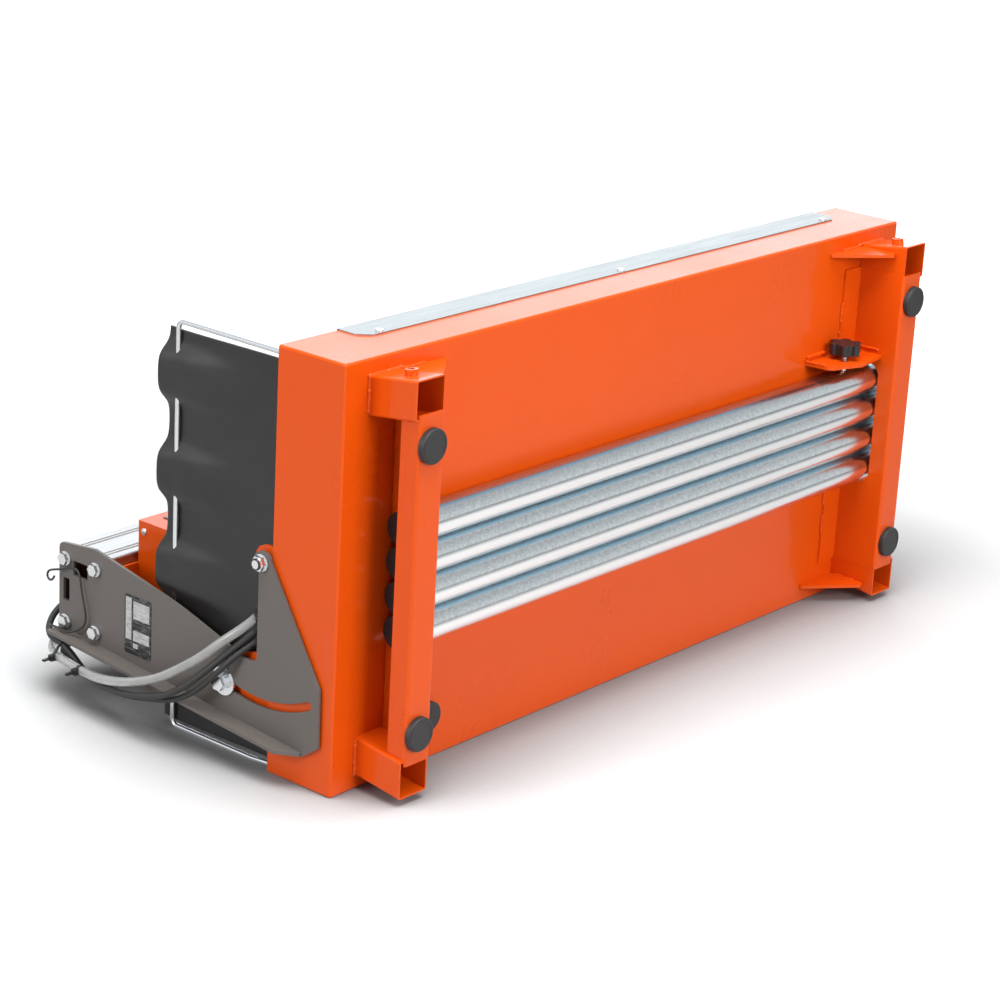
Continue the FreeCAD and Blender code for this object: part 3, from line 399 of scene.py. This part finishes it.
def foil_label():
    """Type plate: black field, pale panels and rows of plain bars that stand for print."""
    material, tree, shader, position = new_material("label_foil", Metallic=0.35)
    low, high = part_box("type_plate")
    size = high - low
    local = put(tree, "Mapping", {"Vector": position, "Location": (-low.x, -low.y, -low.z)})
    parts = put(tree, "SeparateXYZ", {"Vector": local.outputs[0]}).outputs
    across = math_node(tree, "SUBTRACT", 1.0, math_node(tree, "DIVIDE", parts[1], size.y))
    up = math_node(tree, "DIVIDE", parts[2], size.z)
    panels = None
    for panel in ((0.04, 0.26, 0.24, 0.96), (0.33, 0.94, 0.62, 0.92), (0.33, 0.94, 0.24, 0.42),
                  (0.33, 0.52, 0.12, 0.20)):
        mask = inside(tree, across, up, *panel)
        panels = mask if panels is None else math_node(tree, "MAXIMUM", panels, mask)
    place = put(tree, "CombineXYZ", {0: across, 1: math_node(tree, "MULTIPLY", up, 1.6)}).outputs[0]
    words = put(tree, "TexBrick", {"Vector": place, "Color1": (0, 0, 0, 1), "Color2": (1, 1, 1, 1),
                                   "Mortar": (0, 0, 0, 1), "Scale": 9.0, "Mortar Size": 0.07,
                                   "Brick Width": 1.4, "Row Height": 0.5, "Bias": -0.2})
    ink = put(tree, "SeparateColor", {"Color": words.outputs["Color"]}).outputs[0]
    black = mix_colour(tree, math_node(tree, "MULTIPLY", ink, 0.5), (0.012, 0.012, 0.013, 1),
                       (0.30, 0.30, 0.29, 1))
    pale = mix_colour(tree, math_node(tree, "MULTIPLY", ink, 0.55), (0.50, 0.50, 0.49, 1),
                      (0.05, 0.05, 0.05, 1))
    tree.links.new(mix_colour(tree, panels, black, pale), shader.inputs["Base Color"])
    shader.inputs["Roughness"].default_value = 0.30
    return material


def clear_hose():
    material, tree, shader, position = new_material("clear_hose", Transmission_Weight=0.6, IOR=1.35,
                                                    Coat_Weight=0.9, Coat_Roughness=0.05)
    tone = use_group(tree, "colour_drift", Position=position, Colour=(0.56, 0.56, 0.54, 1),
                     Scale=40.0, Amount=0.35)
    tree.links.new(tone["Colour"], shader.inputs["Base Color"])
    rough = span(tree, tone["Mask"], 0.3, 0.7, 0.14, 0.20)
    tree.links.new(rough, shader.inputs["Roughness"])
    return material


def make_materials():
    for name, build in (("colour_drift", drift_group), ("sprayed_coat", peel_group),
                        ("scuffs", scuff_group), ("fine_tooth", tooth_group),
                        ("zinc_spangle", spangle_group), ("brushed_lines", brushed_group)):
        groups[name] = build()
    orange = (0.66, 0.074, 0.0024, 1)
    along = (2, 260, 260)
    return {
        "orange_paint": paint("orange_paint", orange, 0.30, 0.10, 5.0, 0.28),
        "grey_paint": paint("grey_paint", (0.130, 0.116, 0.106, 1), 0.42, 0.22, 1.0, 0.12,
                            drift=0.12, peel_scale=900.0),
        "galvanised_tube": galvanised(),
        "zinc_steel": metal("zinc_steel", (0.78, 0.79, 0.80, 1), 0.25, (6, 6, 6), lines=0.01,
                            drift=0.04, relief=0.0, worn=0.0),
        "stainless_strip": metal("stainless_strip", (0.62, 0.64, 0.64, 1), 0.42, along, relief=0.06),
        # A darker, greenish copy of the strip steel: the green-grey tint is the strip's own, the
        # darkness is painted shade against the bright sweep it mirrors.
        "strip_tint_and_painted_shade": metal("strip_tint_and_painted_shade", (0.32, 0.345, 0.34, 1), 0.44, along, relief=0.05),
        "beam_aluminium": metal("beam_aluminium", (0.44, 0.44, 0.43, 1), 0.38, along, relief=0.03),
        "motor_aluminium": metal("motor_aluminium", (0.42, 0.43, 0.44, 1), 0.45, (60, 60, 60)),
        "blade_steel": metal("blade_steel", (0.56, 0.57, 0.58, 1), 0.28, (50, 50, 50)),
        "black_plastic": grained("black_plastic", (0.012, 0.012, 0.0125, 1), 0.42, 700.0, 0.18),
        "black_rubber": grained("black_rubber", (0.017, 0.016, 0.0155, 1), 0.5, 500.0, 0.2),
        "flap_rubber": flap_rubber(),
        "switch_red": grained("switch_red", (0.60, 0.012, 0.008, 1), 0.3, 700.0, 0.08, drift=0.1),
        "label_foil": foil_label(),
        "clear_hose": clear_hose(),
    }


def flap_rubber():
    """Rubber sheet with faint rolled streaks across it."""
    material, tree, shader, position = new_material("flap_rubber", Specular_IOR_Level=0.4)
    tone = use_group(tree, "colour_drift", Position=position, Colour=(0.019, 0.0175, 0.0168, 1),
                     Scale=7.0, Amount=0.7)
    rolled = use_group(tree, "brushed_lines", Position=position, Stretch=(40, 6, 90), Scale=5.0)
    pale = mix_colour(tree, span(tree, rolled["Mask"], 0.5, 0.75, 0.0, 0.12), tone["Colour"],
                      (0.060, 0.057, 0.055, 1))
    tree.links.new(pale, shader.inputs["Base Color"])
    tree.links.new(span(tree, rolled["Mask"], 0.3, 0.7, 0.40, 0.44), shader.inputs["Roughness"])
    tooth = use_group(tree, "fine_tooth", Position=position, Scale=600.0)
    bump(tree, shader, math_node(tree, "ADD", tooth["Height"], rolled["Mask"]), 0.08, 0.0003)
    return material


def paint_cad_nodes(finishes):
    for part in frame["record"]["subparts"]:
        mesh = nodes[part["node"]].data
        mesh.materials.clear()
        # The side strip takes the darker copy of the strip steel: its own tint plus painted shade.
        finish = "strip_tint_and_painted_shade" if part["node"] == "side_strip" else part["material_slot"]
        mesh.materials.append(finishes[finish])


# ------------------------------------------------------------------ pieces
def finish_piece(bm, name, body, material, sharp_angle=35):
    mesh = bpy.data.meshes.new(name)
    bm.to_mesh(mesh)
    bm.free()
    for face in mesh.polygons:
        face.use_smooth = True
    mesh.set_sharp_from_angle(angle=math.radians(sharp_angle))
    mesh.materials.append(material)
    piece = bpy.data.objects.new(name, mesh)
    bpy.context.scene.collection.objects.link(piece)
    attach(piece, body)
    return piece


def apply_modifiers(piece):
    """Makes the modifiers' result the piece's own mesh."""
    graph = bpy.context.evaluated_depsgraph_get()
    mesh = bpy.data.meshes.new_from_object(piece.evaluated_get(graph))
    piece.modifiers.clear()
    piece.data = mesh


def cord(name, route, radius, material):
    curve = bpy.data.curves.new(name, "CURVE")
    curve.dimensions = "3D"
    curve.bevel_depth = radius / 1000
    curve.bevel_resolution = 6
    curve.resolution_u = 10
    curve.use_fill_caps = True
    spline = curve.splines.new("NURBS")
    spline.points.add(len(route) - 1)
    for point, place in zip(spline.points, route):
        point.co = (*at(*place), 1)
    spline.order_u = 3
    spline.use_endpoint_u = True
    curve.materials.append(material)
    piece = bpy.data.objects.new(name + "_line", curve)
    bpy.context.scene.collection.objects.link(piece)
    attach(piece, "bridge")
    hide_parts(name)
    return piece


hose_route = [(5, 112, 193), (3.5, 123, 179), (-5, 139, 162), (-18, 158, 144), (-29, 178, 123),
              (-36, 203, 104), (-40, 231, 85), (-41, 266, 69), (-41, 306, 56), (-38, 346, 49),
              (-33, 378, 48), (-28, 406, 48), (-22, 432, 47), (-11, 451, 51), (7, 459, 58),
              (28, 458, 64), (48, 455, 66)]
cable_route = [(3.5, 112, 176), (0.5, 124, 162), (-12, 149, 134), (-26, 172, 108), (-36, 193, 86),
               (-42, 220, 66), (-45, 258, 55), (-39, 308, 43), (-30, 352, 38), (-21, 385, 43),
               (-17, 408, 54), (-15, 430, 62), (-14, 447, 62), (-10, 458, 69), (-2, 461, 81),
               (8, 458, 93), (20, 452, 103), (34, 449, 108), (48, 449, 107)]
lead_route = [(4, 112, 162), (2, 124, 149), (-12, 139, 133), (-24, 157, 109), (-29, 184, 80),
              (-33, 214, 60), (-35, 252, 50), (-31, 302, 38), (-23, 346, 33), (-16, 380, 35),
              (-13, 404, 43), (-11, 424, 49), (-6, 438, 46), (8, 447, 45), (28, 448, 50),
              (48, 448, 53)]
tie_route = [(-11, 446, 140), (-12, 448, 134), (-13, 454, 134), (-13, 457, 140), (-13, 453, 146),
             (-12, 444, 149), (-11, 433, 152), (-10, 421, 157), (-9, 409, 159), (-10, 402, 152),
             (-11, 399, 140), (-11, 396, 127), (-12, 391, 114), (-11, 390, 101), (-12, 394, 90),
             (-13, 404, 83), (-16, 414, 79), (-18.5, 425, 79), (-19.5, 436, 82), (-17, 448, 79)]


hose_radius, cable_radius, lead_radius, tie_radius = 5.5, 4.0, 3.5, 1.3


def make_cords(finishes):
    rubber = finishes["black_rubber"]
    cord("water_hose", hose_route, hose_radius, finishes["clear_hose"])
    cord("power_cable", cable_route, cable_radius, rubber)
    cord("pump_lead", lead_route, lead_radius, rubber)
    cord("tie_cord", tie_route, tie_radius, rubber)


def smooth_step(value):
    value = min(1.0, max(0.0, value))
    return value * value * (3 - 2 * value)


def make_splash_flap(finishes):
    """Rubber sheet, woven in and out over the bail's crossbar."""
    low_z, high_z = 8.0, 478.0
    root_y, free_y = 44.0, 285.0
    bar_x, bar_y = 10.0, 263.0
    clear_of_bar = 5.2
    root_x = 18.5
    wave_start_y = 130.0
    fullness = 1.8
    thickness = 0.0028
    first_crossing, pitch = 455.0, 57.9
    bm = bmesh.new()
    bmesh.ops.create_grid(bm, x_segments=44, y_segments=150, size=0.5)
    for vertex in bm.verts:
        y = root_y + (vertex.co.x + 0.5) * (free_y - root_y)
        z = low_z + (vertex.co.y + 0.5) * (high_z - low_z)
        weave = math.sin(math.pi * (first_crossing - z) / pitch)
        weave = math.tanh(fullness * weave) / math.tanh(fullness)
        rise = smooth_step((y - wave_start_y) / (bar_y - wave_start_y))
        past = max(0.0, y - bar_y) / (free_y - bar_y)
        side = clear_of_bar * rise ** 1.4 + 2.5 * past
        x = root_x + (bar_x - root_x) * rise - side * weave
        sag = 2.0 * past * weave
        slack = 1.2 * rise * math.sin(0.031 * y + 0.017 * z)
        vertex.co = at(x + slack * (1 - rise), y + sag, z)
    piece = finish_piece(bm, "splash_flap_sheet", "frame", finishes["flap_rubber"])
    wall = piece.modifiers.new("wall", "SOLIDIFY")
    wall.thickness = thickness
    wall.offset = 0
    rounded = piece.modifiers.new("edges", "BEVEL")
    rounded.width = 0.0006
    rounded.segments = 2
    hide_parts("splash_flap")
    return piece


def weld_bead(bm, start, end, radius, draw, step=2.4):
    """A row of overlapping ripples laid between two points."""
    start, end = Vector(start), Vector(end)
    count = max(2, int((end - start).length / step))
    for i in range(count + 1):
        share = i / count
        middle = start.lerp(end, share)
        size = radius * draw.uniform(0.85, 1.2)
        shake = Vector([draw.uniform(-0.35, 0.35) for _ in range(3)])
        ripple = Matrix.Translation(at(*(middle + shake))) @ Matrix.Scale(size / 1000, 4)
        bmesh.ops.create_icosphere(bm, subdivisions=2, radius=1.0, matrix=ripple)


def mirrored_x(point):
    return (length - point[0], point[1], point[2])


def mirrored_z(point):
    return (point[0], point[1], width - point[2])


def frame_bead_lines():
    """Seams of the leg sockets, gussets, foot rails and clamp plate."""
    low_z, high_z = 18.6, 63.4
    near_x, far_x = 37.5, 82.5
    at_corner = [((near_x, -0.5, low_z), (far_x + 6, -0.5, low_z), 2.6),
                 ((near_x, -0.5, low_z), (near_x, -0.5, high_z - 5), 2.6),
                 ((far_x + 4, -1, low_z + 1.5), (far_x + 42, -1, low_z + 1.5), 2.0),
                 ((near_x + 4, -56, 55.8), (far_x - 4, -56, 55.8), 1.6),
                 ((far_x + 0.8, -8, low_z + 6), (far_x + 0.8, -36, low_z + 6), 1.8),
                 ((118, -1.2, 92), (118, -1.2, 116), 1.9),
                 ((118, -1.2, 132), (118, -1.2, 150), 1.9)]
    lines = []
    for start, end, radius in at_corner:
        for flip_x in (False, True):
            for flip_z in (False, True):
                a, b = start, end
                if flip_x:
                    a, b = mirrored_x(a), mirrored_x(b)
                if flip_z:
                    a, b = mirrored_z(a), mirrored_z(b)
                lines.append((a, b, radius))
    lines.append(((872, -1, 347.5), (910, -1, 347.5), 2.2))
    lines.append(((976.5, -5, 347.5), (976.5, -40, 347.5), 2.0))
    lines.append(((869, -4, 343), (871.5, -28, 343), 1.6))
    return lines


def make_welds(finishes):
    draw = random.Random(11)
    bm = bmesh.new()
    for start, end, radius in frame_bead_lines():
        weld_bead(bm, start, end, radius, draw)
    piece = finish_piece(bm, "frame_welds", "frame", finishes["orange_paint"], 180)
    skin = piece.modifiers.new("skin", "REMESH")
    skin.mode = "VOXEL"
    skin.voxel_size = 0.0008
    skin.use_smooth_shade = True
    apply_modifiers(piece)
    return piece


# ------------------------------------------------------------------ small pieces
def brick(bm, x, y, z):
    """A block between two places on each axis, in millimetres."""
    low, high = at(x[0], y[0], z[0]), at(x[1], y[1], z[1])
    shape = Matrix.Translation((low + high) / 2) @ Matrix.Diagonal((*(high - low), 1))
    return bmesh.ops.create_cube(bm, size=1.0, matrix=shape)["verts"]


def ease(bm, width_mm, segments=2):
    """Rounds every edge of what the mesh holds so far."""
    bmesh.ops.bevel(bm, geom=bm.edges[:], offset=width_mm / 1000, segments=segments, profile=0.5,
                    affect="EDGES", material=-1, clamp_overlap=True)


def turned(bm, profile, place, toward, steps=32):
    """Turns a profile of (radius, height) points, in mm, about a line from place along toward."""
    aim = Vector(toward).to_track_quat("Z", "Y").to_matrix().to_4x4()
    frame_of_axis = Matrix.Translation(at(*place)) @ aim
    points = [bm.verts.new(frame_of_axis @ Vector((r / 1000, 0, h / 1000))) for r, h in profile]
    edges = [bm.edges.new(pair) for pair in zip(points, points[1:])]
    axis = frame_of_axis.to_3x3() @ Vector((0, 0, 1))
    bmesh.ops.spin(bm, geom=points + edges, cent=at(*place), axis=axis, angle=2 * math.pi,
                   steps=steps, use_merge=True)
    bmesh.ops.remove_doubles(bm, verts=bm.verts[:], dist=1e-6)
    bmesh.ops.recalc_face_normals(bm, faces=bm.faces[:])


def cord_hull(cords, clearance):
    """Closed loop round several cords cut by one plane: (x, z, radius) of each."""
    points = []
    for i in range(48):
        turn = 2 * math.pi * i / 48
        toward = Vector((math.cos(turn), math.sin(turn)))
        reach = [(Vector(c[:2]).dot(toward) + c[2], c) for c in cords]
        _, (x, z, radius) = max(reach)
        points.append((x + toward.x * (radius + clearance), z + toward.y * (radius + clearance)))
    return points


def make_cord_straps(finishes):
    """Cable ties that hold hose, cable and lead together."""
    stations = [(372, ((-34.2, 48.3), (-24.6, 40.6), (-18.0, 34.4))),
                (424, ((-24.2, 47.4), (-15.6, 60.0), (-11.0, 49.2)))]
    radii = (hose_radius, cable_radius, lead_radius)
    bm = bmesh.new()
    for y, places in stations:
        hull = cord_hull([(x, z, radius) for (x, z), radius in zip(places, radii)], 0.5)
        ring = bmesh.ops.create_circle(bm, segments=len(hull), radius=1.0)["verts"]
        for vertex, (x, z) in zip(ring, hull):
            vertex.co = at(x, y, z)
        edges = list({edge for vertex in ring for edge in vertex.link_edges})
        side = bmesh.ops.extrude_edge_only(bm, edges=edges)["geom"]
        moved = [item for item in side if isinstance(item, bmesh.types.BMVert)]
        bmesh.ops.translate(bm, verts=moved, vec=(0, 0.0042, 0))
        x, z = min(hull)
        brick(bm, (x - 4.4, x + 0.6), (y - 0.6, y + 4.8), (z - 3, z + 3))
        brick(bm, (x - 15, x - 3.8), (y + 0.9, y + 3.3), (z - 0.6, z + 0.6))
    piece = finish_piece(bm, "cord_straps", "bridge", finishes["black_plastic"])
    wall = piece.modifiers.new("wall", "SOLIDIFY")
    wall.thickness = 0.0011
    wall.offset = 1
    return piece


def make_strain_reliefs(finishes):
    """Ribbed tapered sleeves where hose, cable and lead leave their blocks."""
    bm = bmesh.new()
    for route, radius in ((hose_route, hose_radius), (cable_route, cable_radius),
                          (lead_route, lead_radius)):
        for start, then in ((route[0], route[1]), (route[-1], route[-2])):
            toward = (Vector(then) - Vector(start)).normalized()
            profile = [(radius + 3.4, -1.0), (radius + 3.4, 3.0)]
            for i in range(5):
                height = 4.2 + 3.0 * i
                wall = 2.6 - 0.42 * i
                profile += [(radius + wall, height), (radius + wall - 0.2, height + 1.5),
                            (radius + 0.5, height + 1.7), (radius + 0.5, height + 2.8)]
            profile += [(radius + 0.45, 20.5), (radius + 0.1, 21.0)]
            turned(bm, profile, start, toward, 24)
    return finish_piece(bm, "strain_reliefs", "bridge", finishes["black_rubber"], 30)


def make_lock_rings(finishes):
    """Nylon rings set in the pivot nuts."""
    bm = bmesh.new()
    pivot_y, pivot_z = 109.0, 250.0
    for x, way in ((-15.9, -1), (length + 15.9, 1)):
        profile = [(5.3, 0), (5.3, 0.7), (6.0, 1.0), (6.7, 0.7), (6.9, 0)]
        turned(bm, profile, (x, pivot_y, pivot_z), (way, 0, 0))
    return finish_piece(bm, "pivot_nut_rings", "frame", finishes["black_plastic"])


def make_table_ribs(finishes):
    """Long raised ribs of the cutting table, each side of the blade's slot."""
    bm = bmesh.new()
    for z in [24 + 13 * i for i in range(16)] + [268 + 13 * i for i in range(17)]:
        brick(bm, (46, length - 84), (108.6, 109.9), (z, z + 6))
    ease(bm, 0.5)
    return finish_piece(bm, "table_ribs", "frame", finishes["stainless_strip"], 50)


def make_fence_scale(finishes):
    """Rule on the fence, with long and short marks."""
    bm = bmesh.new()
    x = length - 75 + 24
    for i in range(44):
        z = 30 + 10 * i
        depth_of_mark = 9 if i % 5 == 0 else 5
        brick(bm, (x - 1 - depth_of_mark, x - 1), (113.9, 114.25), (z, z + 0.9))
    finish_piece(bm, "fence_marks", "frame", finishes["black_plastic"])
    bm = bmesh.new()
    for z in (40, 140, 360, 460):
        turned(bm, [(0.01, 3.0), (2.0, 2.9), (4.6, 2.4), (5.2, 1.2), (5.2, -0.5)],
               (length - 62, 114, z), (0, 1, 0), 24)
    finish_piece(bm, "fence_screws", "frame", finishes["zinc_steel"])


def make_beam_grooves(finishes):
    """Drawn ridges along the rail beam's outer faces."""
    bm = bmesh.new()
    low, high = (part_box("rail_beam")[k] - corner for k in (0, 1))
    x = (low.x * 1000 + 3, high.x * 1000 - 3)
    y0, y1 = low.y * 1000, high.y * 1000
    z0, z1 = low.z * 1000, high.z * 1000
    for z in (z0 + 16, z0 + 22, z1 - 22, z1 - 16):
        brick(bm, x, (y1 - 0.3, y1 + 0.7), (z - 1.1, z + 1.1))
    for y in (y0 + 14, y0 + 20, y1 - 20, y1 - 14):
        brick(bm, x, (y - 1.1, y + 1.1), (z0 - 0.7, z0 + 0.3))
        brick(bm, x, (y - 1.1, y + 1.1), (z1 - 0.3, z1 + 0.7))
    ease(bm, 0.35)
    return finish_piece(bm, "beam_ridges", "bridge", finishes["beam_aluminium"], 50)


def make_motor_dress(finishes):
    """Cooling fins and the fan cover's grille."""
    x0, y0 = spindle_x, spindle_y
    bm = bmesh.new()
    for i in range(36):
        turn = 2 * math.pi * i / 36
        if math.sin(turn) > 0.62:
            continue
        verts = brick(bm, (x0 + 53.5, x0 + 60.5), (y0 - 0.9, y0 + 0.9), (78, 212))
        bmesh.ops.rotate(bm, verts=verts, cent=at(x0, y0, 0), matrix=Matrix.Rotation(turn, 3, "Z"))
    ease(bm, 0.5)
    finish_piece(bm, "motor_fins", "head", finishes["motor_aluminium"], 50)
    bm = bmesh.new()
    for ring in range(4):
        radius = 14 + 9 * ring
        for i in range(6):
            half_span = 2.6 + ring * 2.2
            verts = brick(bm, (x0 + radius, x0 + radius + 4.6), (y0 - half_span, y0 + half_span),
                          (48.6, 50.4))
            turn = Matrix.Rotation(math.pi / 3 * i + 0.26 * ring, 3, "Z")
            bmesh.ops.rotate(bm, verts=verts, cent=at(x0, y0, 0), matrix=turn)
    ease(bm, 0.5)
    finish_piece(bm, "fan_grille_bars", "head", finishes["motor_aluminium"], 50)


def make_head_dress(finishes):
    """Screws and vents on the head box, and the guard's boss with its ring of bolts."""
    screw_profile = [(0.01, 2.6), (2.2, 2.4), (4.0, 1.6), (4.4, 0.4), (4.4, -0.6)]
    bm = bmesh.new()
    for face_x, way in ((45, -1), (275, 1)):
        for z in (74, 208):
            for y in (308, 352):
                turned(bm, screw_profile, (face_x, y, z), (way, 0, 0), 20)
    finish_piece(bm, "head_screws", "head", finishes["zinc_steel"])
    bm = bmesh.new()
    for side_z in ((60.9, 62.6), (219.4, 221.1)):
        for i in range(7):
            brick(bm, (70 + 11 * i, 75 + 11 * i), (312, 348), side_z)
    ease(bm, 0.6)
    finish_piece(bm, "head_louvres", "head", finishes["black_plastic"], 50)
    guard_face_z, bolt_ring_y = 270.0, 250.0
    bm = bmesh.new()
    turned(bm, [(0.01, 5.0), (10, 4.8), (13.4, 3.6), (14, 2.0), (17.5, 1.6), (18, -0.5)],
           (spindle_x, spindle_y, guard_face_z), (0, 0, 1), 40)
    for i in range(6):
        turn = 2 * math.pi * i / 6
        turned(bm, [(0.01, 2.4), (2.4, 2.2), (3.4, 1.4), (3.6, -0.5)],
               (spindle_x + 28 * math.cos(turn), bolt_ring_y + 28 * math.sin(turn), guard_face_z),
               (0, 0, 1), 18)
    finish_piece(bm, "guard_boss", "head", finishes["zinc_steel"])


def make_guard_skirt(finishes):
    """Rubber strips at the guard's two ends."""
    bm = bmesh.new()
    brick(bm, (29, 32), (168, 202), (241, 268))
    brick(bm, (298, 301), (168, 202), (241, 268))
    ease(bm, 0.8)
    return finish_piece(bm, "guard_skirts", "head", finishes["black_rubber"], 50)


def make_blade_teeth(finishes):
    """Diamond segments of the rim, parted by narrow gullets."""
    bm = bmesh.new()
    count, blade_z = 20, 250.0
    root, rim, half_width = 115.5, 125.2, 1.45
    section = ((root, -half_width), (rim, -half_width), (rim, half_width), (root, half_width))
    hub = at(spindle_x, spindle_y, blade_z)
    for i in range(count):
        start = 2 * math.pi * i / count
        corners = [bm.verts.new(at(spindle_x + r * math.cos(start), spindle_y + r * math.sin(start),
                                   blade_z + z)) for r, z in section]
        face = bm.faces.new(corners)
        bmesh.ops.spin(bm, geom=[face, *face.edges, *corners], cent=hub, axis=(0, 0, 1),
                       angle=2 * math.pi / count * 0.88, steps=6)
    bmesh.ops.recalc_face_normals(bm, faces=bm.faces[:])
    return finish_piece(bm, "blade_segments", "blade_spindle", finishes["blade_steel"], 40)


def make_pump_dress(finishes):
    """Intake slots of the water pump."""
    bm = bmesh.new()
    for i in range(6):
        brick(bm, (879.2, 881), (8 + 6 * i, 11 + 6 * i), (50, 86))
    ease(bm, 0.5)
    return finish_piece(bm, "pump_slots", "frame", finishes["motor_aluminium"], 50)


def make_cap_rims(finishes):
    """Turned edge and moulding mark on the rubber feet."""
    bm = bmesh.new()
    for x in (61.0, length - 61.0):
        for z in (84.0, 416.0):
            turned(bm, [(15.6, -0.2), (15.8, 0.35), (16.6, 0.5), (17.4, 0.35), (17.6, -0.2)],
                   (x, -77, z), (0, -1, 0), 40)
            turned(bm, [(0.01, 0.25), (1.6, 0.2), (1.9, -0.2)], (x, -77, z), (0, -1, 0), 16)
    return finish_piece(bm, "foot_rings", "frame", finishes["black_rubber"])


def make_handle_grip(finishes):
    """Soft ribbed sleeve over the handle's outer bar."""
    low, high = (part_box("head_handle")[k] - corner for k in (0, 1))
    x1 = high.x * 1000
    y = (low.y * 1000 + 15, high.y * 1000 - 15)
    z = (low.z * 1000 - 1.2, high.z * 1000 + 1.2)
    bm = bmesh.new()
    ribs = int((y[1] - y[0]) / 4)
    for i in range(ribs):
        brick(bm, (x1 - 19.2, x1 + 1.2), (y[0] + 4 * i, y[0] + 4 * i + 3.0), z)
    ease(bm, 1.2)
    return finish_piece(bm, "handle_sleeve", "head", finishes["black_rubber"], 50)


# ------------------------------------------------------------------ the saw
make_camera()
finishes = make_materials()
make_cords(finishes)
make_studio()
paint_cad_nodes(finishes)
make_splash_flap(finishes)
make_welds(finishes)
for make_piece in (make_cord_straps, make_strain_reliefs, make_lock_rings, make_table_ribs,
                   make_fence_scale, make_beam_grooves, make_motor_dress, make_head_dress,
                   make_guard_skirt, make_blade_teeth, make_pump_dress, make_cap_rims,
                   make_handle_grip):
    make_piece(finishes)
